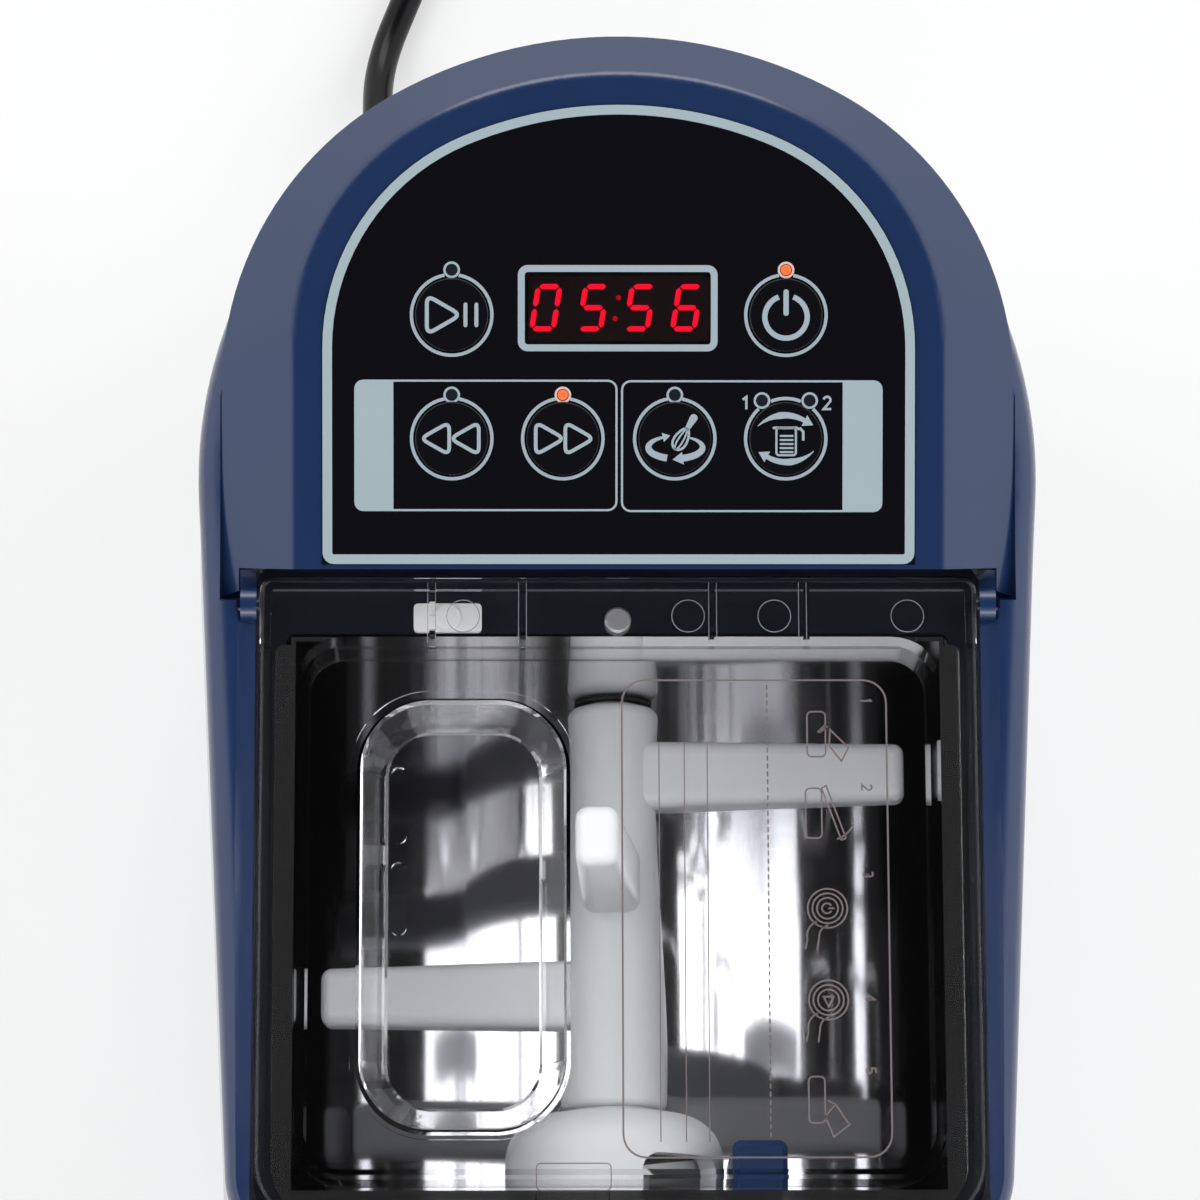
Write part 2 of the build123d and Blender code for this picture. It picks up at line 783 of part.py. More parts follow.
def inlet_outline(grow, corner):
    """Plan of the water inlet, grown or shrunk evenly."""
    with Locations(inlet_centre):
        RectangleRounded(inlet_span[0] + 2 * grow, inlet_span[1] + 2 * grow, corner)


def lid_outline(inset):
    """Plan of the lid, shrunk evenly."""
    front_rounded(lid_half - inset, lid_front + inset, lid_rear - inset, 14 - inset, 3 - inset)


with BuildPart() as lid:
    with BuildSketch(Plane.XY.offset(plate_under)):
        lid_outline(0)
    extrude(amount=lid_thick)
    fillet(lid.faces().sort_by(Axis.Z)[-1].edges(), 1.4)
    # outer rim, short at the back so that it clears the ledge as the lid tilts
    with BuildSketch(Plane.XY.offset(rim_bottom)):
        lid_outline(0)
    extrude(amount=plate_under - rim_bottom)
    with BuildSketch(Plane.XY.offset(rim_bottom)):
        lid_outline(rim_wall)
    extrude(amount=plate_under - rim_bottom, mode=Mode.SUBTRACT)
    with BuildSketch(Plane.XY.offset(rim_bottom)):
        with Locations((0, rim_end_y + 10)):
            Rectangle(200, 20)
    extrude(amount=rim_short - rim_bottom, mode=Mode.SUBTRACT)
    # inner skirt that stands in the trough
    with BuildSketch(Plane.XY.offset(skirt_bottom)):
        slab(skirt_half, skirt_front, skirt_rear, 10)
    with BuildSketch(Plane.XY.offset(skirt_bottom)) as skirt_inside:
        slab(skirt_half - skirt_wall, skirt_front + skirt_wall, skirt_rear - skirt_wall, 10 - skirt_wall)
    extrude(amount=plate_under - skirt_bottom)
    extrude(skirt_inside.sketch, amount=plate_under - skirt_bottom, mode=Mode.SUBTRACT)
    # ribs of the back strip; the first one reaches down to the interlock plunger
    for rib_x, rib_end, bottom in (
        (press_rib_x, lid_rear - rim_wall, rib_bottom),
        (press_rib_x, 23.0, press_rib_bottom),
        (-20.9, lid_rear - rim_wall, rib_bottom),
        (20.4, lid_rear - rim_wall, rib_bottom),
        (41.3, lid_rear - rim_wall, rib_bottom),
    ):
        with BuildSketch(Plane.YZ.offset(rib_x)):
            with Locations(((skirt_rear + rib_end) / 2 - 0.5, (bottom + plate_under) / 2)):
                Rectangle(rib_end - skirt_rear + 1, plate_under - bottom)
        extrude(amount=0.7, both=True)
    # dished water inlet with a raised lip
    with BuildSketch(Plane.XY.offset(lid_top - inlet_depth - 2.2)):
        inlet_outline(2.2 - inlet_inset, 11.7)
    with BuildSketch(Plane.XY.offset(lid_top - 0.6)):
        inlet_outline(2.2, 17.2)
    loft()
    with BuildSketch(Plane.XY.offset(lid_top - 0.6)):
        inlet_outline(2.2, 17.2)
    extrude(amount=1.8)
    with BuildSketch(Plane.XY.offset(lid_top - inlet_depth)):
        inlet_outline(-inlet_inset, 9.5)
    with BuildSketch(Plane.XY.offset(lid_top + 2)):
        inlet_outline(0.6, 15.6)
    loft(mode=Mode.SUBTRACT)
    # two slots that let the water into the trough
    with BuildSketch(Plane.XY.offset(lid_top)):
        for slot_y in ((-27.4, -10.5), (-47.7, -31.6)):
            with Locations((-48.0, sum(slot_y) / 2)):
                SlotOverall(slot_y[1] - slot_y[0], 3.4, rotation=90)
    extrude(amount=-20, mode=Mode.SUBTRACT)
    # trunnions
    for side in (-1, 1):
        with BuildSketch(Plane.YZ.offset(side * (lid_half - 0.5))):
            with Locations((hinge_y, hinge_z)):
                Circle(trunnion_radius)
        extrude(amount=side * 3.7)

# ---------------------------------------------------------------- interlock

plunger_place = (-37.5, 23.4)
with BuildPart() as interlock_plunger:
    with BuildSketch(Plane.XY.offset(ledge_z + 0.6)):
        with Locations(plunger_place):
            RectangleRounded(15, 6.4, 1)
    extrude(amount=1.6)
    with BuildSketch(Plane.XY.offset(ledge_z + 2.2)):
        with Locations(plunger_place):
            Circle(2.9)
    extrude(amount=0.6)
    with BuildSketch(Plane.XY.offset(ledge_z + 0.6)):
        with Locations(plunger_place):
            Circle(2.6)
    extrude(amount=-6)

with BuildPart() as interlock_switch:
    with BuildSketch(Plane.XY.offset(223)):
        with Locations(plunger_place):
            RectangleRounded(20, 6, 1)
    extrude(amount=8)
    with BuildSketch(Plane.XY.offset(231)):
        with Locations(plunger_place):
            Circle(1.2)
    extrude(amount=0.8)
    with BuildSketch(Plane.XY.offset(223)):
        with Locations(plunger_place):
            with GridLocations(7, 0, 3, 1):
                Rectangle(0.8, 4)
    extrude(amount=-5)

with BuildPart() as ledge_pin:
    with BuildSketch(Plane.XY.offset(ledge_z)):
        with Locations((0, 22.6)):
            Circle(2.9)
    extrude(amount=4)
    chamfer(ledge_pin.faces().sort_by(Axis.Z)[-1].edges(), 0.5)
    with BuildSketch(Plane.XY.offset(ledge_z)):
        with Locations((0, 22.6)):
            Circle(1.9)
    extrude(amount=-6)

# ---------------------------------------------------------------- gear train

shaft_axis = (0.0, shaft_z)
motor_axis = (0.0, motor_z)
second_distance = second_module * (second_pinion_teeth + second_gear_teeth) / 2
first_distance = first_module * (first_pinion_teeth + first_gear_teeth) / 2
drop = shaft_z - motor_z
idler_down = (second_distance**2 - first_distance**2 + drop**2) / (2 * drop)
idler_axis = (math.sqrt(second_distance**2 - idler_down**2), shaft_z - idler_down)
case_front = 28.0
case_rear = 66.0
gears_front = 33.0
stage_split = 49.0


def disc(y, depth, axis, radius, mode=Mode.ADD):
    """Round disc about an axis, drawn out backwards from y."""
    with BuildSketch(facing_front(y)) as circle:
        with Locations(axis):
            Circle(radius)
    extrude(circle.sketch, amount=-depth, mode=mode)


def bore(y, depth, axis, radius):
    """Round hole about an axis, from y backwards."""
    disc(y, depth, axis, radius, Mode.SUBTRACT)


def case_outline(grow):
    """Inside of the gear case, or its outside if grown: it hugs the axes and stands on a flat foot."""
    room = 1.2
    output_reach = second_module * (second_gear_teeth / 2 + 0.8) + room
    idler_reach = first_module * (first_gear_teeth / 2 + 0.8) + room
    for axis, radius in ((shaft_axis, output_reach), (idler_axis, idler_reach), (motor_axis, 19)):
        with Locations(axis):
            Circle(radius + grow)
    with Locations((0, 34)):
        Rectangle(46 + 2 * grow, 14 + 2 * grow)
    make_hull()


second_gear = (second_gear_teeth, second_module)
second_pinion = (second_pinion_teeth, second_module)
first_gear = (first_gear_teeth, first_module)
first_pinion = (first_pinion_teeth, first_module)
free_bore = idler_bore + 0.05
pinion_width = stage_split - gears_front
gear_places = {
    "output_gear": (second_gear, shaft_axis, idler_axis, gears_front, 13.0, shaft_radius),
    "idler_pinion": (second_pinion, idler_axis, shaft_axis, gears_front, pinion_width, free_bore),
    "idler_gear": (first_gear, idler_axis, motor_axis, stage_split, 9.0, free_bore),
    "motor_pinion": (first_pinion, motor_axis, idler_axis, stage_split - 0.5, 11.0, pinion_bore),
}
hub_radius = 14.0
gears = {}
for gear_name, ((teeth, module), axis, mate, gear_y, thickness, hole) in gear_places.items():
    large = teeth > 30
    # the large gear points a tooth at its pinion, which turns a gap towards it
    turn = angle_between(axis, mate) + (0 if large else 180 / teeth)
    with BuildPart() as gear:
        with BuildSketch(facing_front(gear_y)):
            with Locations(axis):
                add(gear_face(teeth, module, turn))
                Circle(hole, mode=Mode.SUBTRACT)
        extrude(amount=-thickness)
        if large:
            # web thinned between hub and rim, with lightening holes
            rim = module * (teeth / 2 - 2.6)
            for face_y in (gear_y, gear_y + thickness - 3):
                with BuildSketch(facing_front(face_y)):
                    with Locations(axis):
                        Circle(rim)
                        Circle(hub_radius, mode=Mode.SUBTRACT)
                extrude(amount=-3, mode=Mode.SUBTRACT)
            with BuildSketch(facing_front(gear_y)):
                with Locations(axis):
                    with PolarLocations((rim + hub_radius) / 2, 6):
                        Circle((rim - hub_radius) / 2 - 4)
            extrude(amount=-thickness, mode=Mode.SUBTRACT)
    gears[gear_name] = gear

case_wall = 3.0
bearing_radius = 14.0
with BuildPart() as gear_cover:
    with BuildSketch(facing_front(case_front - 4)):
        case_outline(case_wall)
    extrude(amount=-4)
    disc(case_front, 4.4, shaft_axis, bearing_radius + 3)
    bore(case_front - 4, 8.4, shaft_axis, bearing_radius)
    bore(case_front - 4, 8, idler_axis, idler_bore)

with BuildPart() as gear_case:
    with BuildSketch(facing_front(case_front)):
        case_outline(case_wall)
    extrude(amount=case_front - case_rear)
    with BuildSketch(facing_front(case_front)):
        case_outline(0)
    extrude(amount=case_front - case_rear + 4, mode=Mode.SUBTRACT)
    disc(case_rear - 10, 10, shaft_axis, bearing_radius + 3)
    bore(case_rear - 10, 8, shaft_axis, bearing_radius)
    bore(case_rear - 10, 20, shaft_axis, shaft_radius + 1)
    bore(case_front, 60, idler_axis, idler_bore)
    bore(case_front, 60, motor_axis, 12)

with BuildPart() as case_mounts:
    with BuildSketch(Plane.XY.offset(plate_top)):
        with Locations((-16, 40), (16, 40), (-16, 56), (16, 56)):
            Circle(7)
    extrude(amount=24 - plate_top)

with BuildPart() as idler_pin:
    disc(case_front - 4, case_rear - case_front + 4, idler_axis, idler_bore)

with BuildPart() as drive_shaft:
    disc(rod_rear + gap, case_rear - 2 - rod_rear - gap, shaft_axis, shaft_radius)
    # hexagonal end that turns the mixing rod
    with BuildSketch(facing_front(rod_rear + 1)):
        with Locations(shaft_axis):
            RegularPolygon(radius=5.75, side_count=6, rotation=rod_turn)
    extrude(amount=25)

with BuildPart() as shaft_bearings:
    for bearing_y in (case_front - 3.6, case_rear - 10):
        disc(bearing_y, 8, shaft_axis, bearing_radius)
    bore(0, 100, shaft_axis, shaft_radius + 0.05)

with BuildPart() as shaft_seal:
    disc(trough_back + sheet, 4, shaft_axis, 13)
    disc(trough_back - 0.4, 2, shaft_axis, 8.9)
    bore(0, 60, shaft_axis, shaft_radius + 0.08)

# ---------------------------------------------------------------- motor and electrics

stack_front = 78.0
stack_rear = 116.0
with BuildPart() as motor_core:
    with BuildSketch(facing_front(stack_front)):
        with Locations(motor_axis):
            RectangleRounded(80, 80, 9)
            Circle(24, mode=Mode.SUBTRACT)
            with GridLocations(66, 66, 2, 2):
                Circle(2.2, mode=Mode.SUBTRACT)
    extrude(amount=stack_front - stack_rear)

with BuildPart() as motor_windings:
    for ring_y in (stack_front - 7, stack_rear):
        with BuildSketch(facing_front(ring_y)):
            with Locations(motor_axis):
                Circle(33)
                Circle(26, mode=Mode.SUBTRACT)
        extrude(amount=-7)

bell_radius = 38.0
bell_wall = 2.5
boss_radius = 14.0
ball_race = 11.0
bell_front = case_rear + gap
bell_depth = 12.0
with BuildPart() as motor_front_bell:
    disc(bell_front, stack_front - bell_front, motor_axis, bell_radius)
    bore(bell_front + bell_wall, stack_front - case_rear, motor_axis, bell_radius - 3)
    disc(bell_front, 9, motor_axis, boss_radius)
    bore(case_rear, 30, motor_axis, ball_race)

with BuildPart() as motor_rear_bell:
    disc(stack_rear, bell_depth, motor_axis, bell_radius)
    bore(stack_rear, bell_depth - bell_wall, motor_axis, bell_radius - 3)
    disc(stack_rear + bell_depth - 9, 9, motor_axis, boss_radius)
    bore(stack_rear, 30, motor_axis, ball_race)

with BuildPart() as motor_bearings:
    for bearing_y in (case_rear + 1, stack_rear + 4):
        disc(bearing_y, 7, motor_axis, ball_race)
    bore(0, 200, motor_axis, pinion_bore + 0.05)

fan_y = stack_rear + bell_depth + 2
fan_depth = 9.0
with BuildPart() as motor_rotor:
    disc(stack_front - 1, stack_rear - stack_front + 2, motor_axis, 23.5)
    disc(stage_split - 0.5, fan_y + fan_depth + 2 - stage_split, motor_axis, pinion_bore)

with BuildPart() as motor_fan:
    disc(fan_y, 1.6, motor_axis, 33)
    disc(fan_y, fan_depth, motor_axis, 8)
    with BuildSketch(facing_front(fan_y)):
        with Locations(motor_axis):
            with PolarLocations(20, 9):
                Rectangle(25, 1.4)
    extrude(amount=-fan_depth)
    bore(fan_y, fan_depth, motor_axis, pinion_bore)

with BuildPart() as run_capacitor:
    with BuildSketch(Plane.XY.offset(plate_top)):
        with Locations((-66, 74)):
            Circle(17.5)
    extrude(amount=64.5)
    chamfer(run_capacitor.faces().sort_by(Axis.Z)[-1].edges(), 1.5)

board_x = 64.0
with BuildPart() as power_board:
    with BuildSketch(Plane.YZ.offset(board_x)):
        with Locations((91, 51.5)):
            Rectangle(46, 89)
    extrude(amount=1.6)
    for part_place, part_width, part_height, part_depth in (
        ((80, 78), 22, 24, 18),
        ((106, 80), 13, 18, 15),
        ((76, 44), 12, 26, 12),
        ((102, 40), 18, 18, 16),
    ):
        with BuildSketch(Plane.YZ.offset(board_x)):
            with Locations(part_place):
                Rectangle(part_width, part_height)
        extrude(amount=-part_depth)

# ---------------------------------------------------------------- mains cord

with BuildPart() as strain_relief:
    with BuildSketch(Plane.YZ.offset(gland_x)):
        with BuildLine():
            Polyline(
                (gland_face_y - 10, gland_z),
                (gland_face_y - 10, gland_z + 6.8),
                (gland_face_y, gland_z + 6.8),
                (gland_face_y, gland_z + 8.6),
                (gland_face_y + 3, gland_z + 8.6),
                (gland_face_y + 3, gland_z + 6.9),
                (relief_end_y, gland_z + 5.2),
                (relief_end_y, gland_z),
                close=True,
            )
        make_face()
    revolve(axis=Axis((gland_x, 0, gland_z), (0, 1, 0)))
    for groove in range(4):
        groove_y = gland_face_y + 7 + 5.5 * groove
        with BuildSketch(facing_front(groove_y)):
            with Locations((gland_x, gland_z)):
                Circle(9)
                Circle(4.9, mode=Mode.SUBTRACT)
        extrude(amount=-1.6, mode=Mode.SUBTRACT)

lie = cord_diameter / 2 + 0.2  # height of the cord's middle where it lies on the table
cord_points = [
    (gland_x, relief_end_y, gland_z),
    (gland_x, relief_end_y + 20, gland_z),
    (-58.4, 209.0, 15.4),
    (-59.2, 231.0, 5.2),
    (-54.5, 253.0, lie),
    (-46.0, 273.0, lie + 0.2),
    (-40.6, 294.0, lie),
    (coil_centre[0] - coil_radius, coil_centre[1], lie),
]
cord_radii = []
for before, corner, after in zip(cord_points, cord_points[1:], cord_points[2:]):
    run_in = Vector(corner) - Vector(before)
    run_out = Vector(after) - Vector(corner)
    half_turn = math.radians(run_in.get_angle(run_out)) / 2
    cord_radii.append(0.45 * min(run_in.length, run_out.length) / math.tan(half_turn))

with BuildPart() as power_cord:
    with BuildLine() as cord_path:
        FilletPolyline(*cord_points, radius=cord_radii)
    cord_middle = cord_path.wire()
    with BuildSketch(Plane(origin=cord_middle @ 0, z_dir=cord_middle % 0)):
        Circle(cord_diameter / 2)
    sweep()
cord_tube_length = cord_middle.length
cord_share = power_cord.part.volume / (math.pi * (cord_diameter / 2) ** 2 * cord_tube_length)
print("cord radii", [round(radius) for radius in cord_radii], "tube length", round(cord_tube_length, 1))
print("tube volume over section times length", round(cord_share, 4))
print("turns in the coil", round((cord_length - cord_tube_length - 40) / (2 * math.pi * coil_radius), 2))

tie_clear = 0.3
tie_thick = 0.6
coil_middle_z = tie_clear + tie_thick + coil_width / 2
coil_side = (coil_centre[0] + coil_radius, coil_middle_z)
with BuildPart() as cord_coil:
    with BuildSketch(facing_front(coil_centre[1])):
        with Locations(coil_side):
            RectangleRounded(coil_width, coil_width, 3.9)
    revolve(axis=Axis((*coil_centre, 0), (0, 0, 1)))

with BuildPart() as cord_tie:
    with BuildSketch(facing_front(coil_centre[1] + 4)):
        with Locations(coil_side):
            tie_inside = coil_width + 2 * tie_clear
            tie_outside = tie_inside + 2 * tie_thick
            RectangleRounded(tie_outside, tie_outside, 4.4)
            RectangleRounded(tie_inside, tie_inside, 3.9, mode=Mode.SUBTRACT)
    extrude(amount=8)

plug_place = (coil_centre[1] + coil_radius + 9, 9.2)
relief_start_x = coil_centre[0] + 6
plug_start_x = relief_start_x + 18
plug_end_x = plug_start_x + 32
with BuildPart() as plug_body:
    for section_x, radius in ((relief_start_x, 4.8), (plug_start_x, 6.4)):
        with BuildSketch(Plane.YZ.offset(section_x)):
            with Locations(plug_place):
                Circle(radius)
    loft()
    for section_x, width, height in (
        (plug_start_x, 13, 13),
        (plug_start_x + 10, 20, 16),
        (plug_end_x, 26, 17.6),
    ):
        with BuildSketch(Plane.YZ.offset(section_x)):
            with Locations(plug_place):
                RectangleRounded(width, height, 6)
    loft()
    fillet(plug_body.faces().sort_by(Axis.X)[-1].edges(), 1.5)

with BuildPart() as plug_blades:
    with BuildSketch(Plane.YZ.offset(plug_end_x)):
        with Locations(plug_place):
            with Locations((-6.35, -2), (6.35, -2)):
                Rectangle(1.5, 6.3)
    extrude(amount=17)
    with BuildSketch(Plane.YZ.offset(plug_end_x)):
        with Locations(plug_place):
            with Locations((0, 4.6)):
                Circle(2.4)
    extrude(amount=19)

# ---------------------------------------------------------------- export

pieces = {
    "lower_casing": lower_casing,
    "base_plate": base_plate,
    "rubber_feet": rubber_feet,
    "base_screws": base_screws,
    "front_panel": front_panel,
    "upper_casing": upper_casing,
    "control_hood": control_hood,
    "overlay_film": overlay_film,
    **keys,
    "display_window": display_window,
    "led_display": led_display,
    "indicator_lamps": indicator_lamps,
    "control_board": control_board,
    "key_switches": key_switches,
    "mixing_trough": mixing_trough,
    "trough_back_plate": trough_back_plate,
    "mixing_rod": mixing_rod,
    "feed_screw": feed_screw,
    "extrusion_barrel": extrusion_barrel,
    "barrel_lock": barrel_lock,
    "noodle_die": noodle_die,
    "die_ring": die_ring,
    "lid": lid,
    "interlock_plunger": interlock_plunger,
    "interlock_switch": interlock_switch,
    "ledge_pin": ledge_pin,
    **gears,
    "gear_cover": gear_cover,
    "gear_case": gear_case,
    "case_mounts": case_mounts,
    "idler_pin": idler_pin,
    "drive_shaft": drive_shaft,
    "shaft_bearings": shaft_bearings,
    "shaft_seal": shaft_seal,
    "motor_core": motor_core,
    "motor_windings": motor_windings,
    "motor_front_bell": motor_front_bell,
    "motor_rear_bell": motor_rear_bell,
    "motor_bearings": motor_bearings,
    "motor_rotor": motor_rotor,
    "motor_fan": motor_fan,
    "run_capacitor": run_capacitor,
    "power_board": power_board,
    "strain_relief": strain_relief,
    "power_cord": power_cord,
    "cord_coil": cord_coil,
    "cord_tie": cord_tie,
    "plug_body": plug_body,
    "plug_blades": plug_blades,
}
for piece_name, piece in pieces.items():
    piece.part.label = piece_name
    export_step(piece.part, f"parts/{piece_name}.step")
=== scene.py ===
"""Looks of the electric pasta maker: finishes, printed key panel, lid legend, mains cord and studio.

Everything stands in the frame of the CAD model, in metres: X to the right, +Y to the back, +Z up. The cord
and the studio are given in metres. Prints, textures and small pieces are given in millimetres and turned
into metres where they are made.
"""

import json
import logging
import math
from dataclasses import dataclass, field, replace
from enum import Enum
from typing import ClassVar, TypeAlias

import bmesh
import bpy
from mathutils import Matrix, Vector

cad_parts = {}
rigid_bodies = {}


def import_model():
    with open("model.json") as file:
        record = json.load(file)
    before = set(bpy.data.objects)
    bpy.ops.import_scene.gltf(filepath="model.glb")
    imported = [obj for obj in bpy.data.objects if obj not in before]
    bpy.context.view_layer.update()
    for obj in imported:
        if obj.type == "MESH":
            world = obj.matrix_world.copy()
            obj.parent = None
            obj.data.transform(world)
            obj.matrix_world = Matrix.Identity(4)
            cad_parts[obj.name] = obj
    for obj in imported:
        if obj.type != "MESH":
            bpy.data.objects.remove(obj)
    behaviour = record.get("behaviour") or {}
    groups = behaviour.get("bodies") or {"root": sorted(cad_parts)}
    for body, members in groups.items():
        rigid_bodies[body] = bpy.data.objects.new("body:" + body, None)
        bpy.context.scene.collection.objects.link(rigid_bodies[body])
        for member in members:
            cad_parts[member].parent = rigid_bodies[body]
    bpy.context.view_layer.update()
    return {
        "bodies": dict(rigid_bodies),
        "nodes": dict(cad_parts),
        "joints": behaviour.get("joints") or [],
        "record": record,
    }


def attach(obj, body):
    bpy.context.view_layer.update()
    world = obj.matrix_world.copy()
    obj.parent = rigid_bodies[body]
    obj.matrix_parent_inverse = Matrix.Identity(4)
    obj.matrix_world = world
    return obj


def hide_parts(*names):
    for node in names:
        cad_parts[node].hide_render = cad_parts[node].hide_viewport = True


LOG = logging.getLogger("pasta_maker")
MM = 0.001
Point = tuple[float, float]
Place = tuple[float, float, float]
Colour = tuple[float, float, float]
Stroke = tuple[list[Point], bool]
Term: TypeAlias = "Wire | float | Place"


def tone(code: str) -> Colour:
    """Turn a screen colour of six hexadecimal digits into the linear colour that a shader takes."""
    levels = [int(code[start : start + 2], 16) / 255 for start in (0, 2, 4)]
    return tuple(level / 12.92 if level <= 0.04045 else ((level + 0.055) / 1.055) ** 2.4 for level in levels)


# -------- shader expressions


class Wire:
    """Output of a shader node, with the arithmetic that shader expressions use."""

    def __init__(self, paint: "Paint", socket: bpy.types.NodeSocket) -> None:
        """Keep the socket, and the node tree that it belongs to."""
        self.paint = paint
        self.socket = socket

    def _join(self, operation: str, first: Term, second: Term) -> "Wire":
        """Add one arithmetic node.

        Args:
            operation: Name of the operation.
            first: Left operand.
            second: Right operand.

        Returns:
            The result, a colour or vector if either operand is one.
        """
        wires = [item for item in (first, second) if isinstance(item, Wire)]
        coloured = any(wire.socket.type != "VALUE" for wire in wires)
        kind = "ShaderNodeVectorMath" if coloured else "ShaderNodeMath"
        return self.paint.node(kind, {"operation": operation}, {0: first, 1: second})

    def __add__(self, other: Term) -> "Wire":
        """Sum."""
        return self._join("ADD", self, other)

    def __radd__(self, other: Term) -> "Wire":
        """Sum with the number on the left."""
        return self._join("ADD", other, self)

    def __sub__(self, other: Term) -> "Wire":
        """Difference."""
        return self._join("SUBTRACT", self, other)

    def __rsub__(self, other: Term) -> "Wire":
        """Difference with the number on the left."""
        return self._join("SUBTRACT", other, self)

    def __mul__(self, other: Term) -> "Wire":
        """Product."""
        return self._join("MULTIPLY", self, other)

    def __rmul__(self, other: Term) -> "Wire":
        """Product with the number on the left."""
        return self._join("MULTIPLY", other, self)

    def __gt__(self, other: Term) -> "Wire":
        """Give 1 where it is larger and 0 elsewhere."""
        return self._join("GREATER_THAN", self, other)

    def __lt__(self, other: Term) -> "Wire":
        """Give 1 where it is smaller and 0 elsewhere."""
        return self._join("LESS_THAN", self, other)

    def most(self, other: Term) -> "Wire":
        """Return the larger of the two."""
        return self._join("MAXIMUM", self, other)


class Paint:
    """A node tree that a finish or the world is built in."""

    bump_strength = 0.6

    def __init__(self, tree: bpy.types.NodeTree) -> None:
        """Empty the tree."""
        self.tree = tree
        tree.nodes.clear()

    def node(
        self,
        kind: str,
        settings: dict[str, object] | None = None,
        inputs: dict[int | str, object] | None = None,
        output: int | str = 0,
    ) -> Wire:
        """Add a node, set it up and fill its sockets.

        Args:
            kind: Blender's name of the node type.
            settings: Attributes that are set first, and the stops of a ramp under the name stops.
            inputs: Numbers, tuples or wires by socket number or name.
            output: Number or name of the output that is returned.

        Returns:
            The chosen output.
        """
        made = self.tree.nodes.new(kind)
        for name, value in (settings or {}).items():
            if name == "stops":
                self._set_stops(made.color_ramp, value)
            else:
                setattr(made, name, value)
        for name, value in (inputs or {}).items():
            socket = made.inputs[name]
            if isinstance(value, Wire):
                self.tree.links.new(value.socket, socket)
            elif socket.type in ("VECTOR", "RGBA") and isinstance(value, (int, float)):
                socket.default_value = [value] * len(socket.default_value)
            elif socket.type == "RGBA" and len(value) == 3:
                socket.default_value = (*value, 1)
            else:
                socket.default_value = value
        return Wire(self, made.outputs[output] if made.outputs else None)

    @staticmethod
    def _set_stops(ramp: bpy.types.ColorRamp, stops: list[Point]) -> None:
        """Give a ramp its stops.

        Args:
            ramp: The ramp, which starts with two stops.
            stops: Place and grey level of each stop, at least two.
        """
        while len(ramp.elements) < len(stops):
            ramp.elements.new(0.5)
        for element, (place, level) in zip(ramp.elements, stops):
            element.position = place
            element.color = (level, level, level, 1)

    def ramp(self, value: Wire, *stops: Point) -> Wire:
        """Run a value through a grey ramp."""
        return self.node("ShaderNodeValToRGB", {"stops": list(stops)}, {0: value})

    def ray(self, name: str) -> Wire:
        """Give the output of the light path that has a name."""
        return self.node("ShaderNodeLightPath", output=name)

    def blend(self, factor: Wire | float, first: object, second: object) -> Wire:
        """Mix two colours by the share of the second one."""
        return self.node("ShaderNodeMix", {"data_type": "RGBA"}, {0: factor, 6: first, 7: second}, 2)

    def place(self, centre: Place = (0, 0, 0), stretch: Place = (1, 1, 1)) -> Wire:
        """Give a point's place in metres from a centre in millimetres, times a factor in each direction."""
        here = self.node("ShaderNodeTexCoord", output=3)
        return (here - tuple(part * MM for part in centre)) * stretch

    def noise(self, size: float, where: Wire, detail: float = 2.0) -> Wire:
        """Make noise round 0.5 with features of a size in millimetres and a number of finer layers."""
        inputs = {"Vector": where, "Scale": 1 / (size * MM), "Detail": detail}
        return self.node("ShaderNodeTexNoise", {}, inputs)

    def waves(self, pattern: str, size: float, where: Wire, along: str = "Y", bend: float = 0.0) -> Wire:
        """Make parallel bands or rings.

        Args:
            pattern: BANDS or RINGS.
            size: Distance from one to the next in millimetres.
            where: Place that they are read at.
            along: Axis that the bands follow each other along, or that the rings go round.
            bend: How far noise bends them.

        Returns:
            A value from 0 to 1.
        """
        settings = {"wave_type": pattern, f"{pattern.lower()}_direction": along}
        inputs = {"Vector": where, "Scale": math.pi / (10 * size * MM), "Distortion": bend}
        return self.node("ShaderNodeTexWave", settings, inputs, 1)

    def bump(self, height: Wire, depth: float) -> Wire:
        """Turn a height from 0 to 1 into a surface direction, with the real height of 1 in millimetres."""
        values = {"Height": height, "Distance": depth * MM, "Strength": self.bump_strength}
        return self.node("ShaderNodeBump", {}, values)

    def inside(self, low: Place, high: Place) -> Wire:
        """Mark the inside of a box.

        Args:
            low: Its lowest corner in millimetres.
            high: Its highest corner.

        Returns:
            1 inside the box and 0 outside.
        """
        here = self.node("ShaderNodeTexCoord", output=3)
        mask: Wire | float = 1.0
        for axis in range(3):
            part = self.node("ShaderNodeSeparateXYZ", {}, {0: here}, axis)
            mask = (part > low[axis] * MM) * (part < high[axis] * MM) * mask
        return mask

    def surface(self, shader: Wire) -> None:
        """Connect a shader to the material's output."""
        self.node("ShaderNodeOutputMaterial", {}, {"Surface": shader})


# -------- finishes


@dataclass(frozen=True)
class Look:
    """A material that is made once, under its name, from the shader of its kind."""

    name: str

    def shader(self, paint: Paint) -> Wire:
        """Build the shader in a tree, which each kind does in its own way."""
        raise NotImplementedError

    def material(self) -> bpy.types.Material:
        """Build the material, or give the one that is already there.

        Returns:
            The material.
        """
        known = bpy.data.materials.get(self.name)
        if known:
            return known
        made = bpy.data.materials.new(self.name)
        made.use_nodes = True
        paint = Paint(made.node_tree)
        paint.surface(self.shader(paint))
        return made


class Grain(Enum):
    """Fine detail of a surface."""

    MOULDED = "spark-eroded mould texture"
    BRUSHED = "fine lines along the shaft"
    TURNED = "rings left by turning"
    LAMINATED = "edges of stacked sheets"
    WOUND = "turns of fine wire"
    TRACED = "copper tracks under lacquer"
    PRINTED = "smooth layer with faint unevenness"


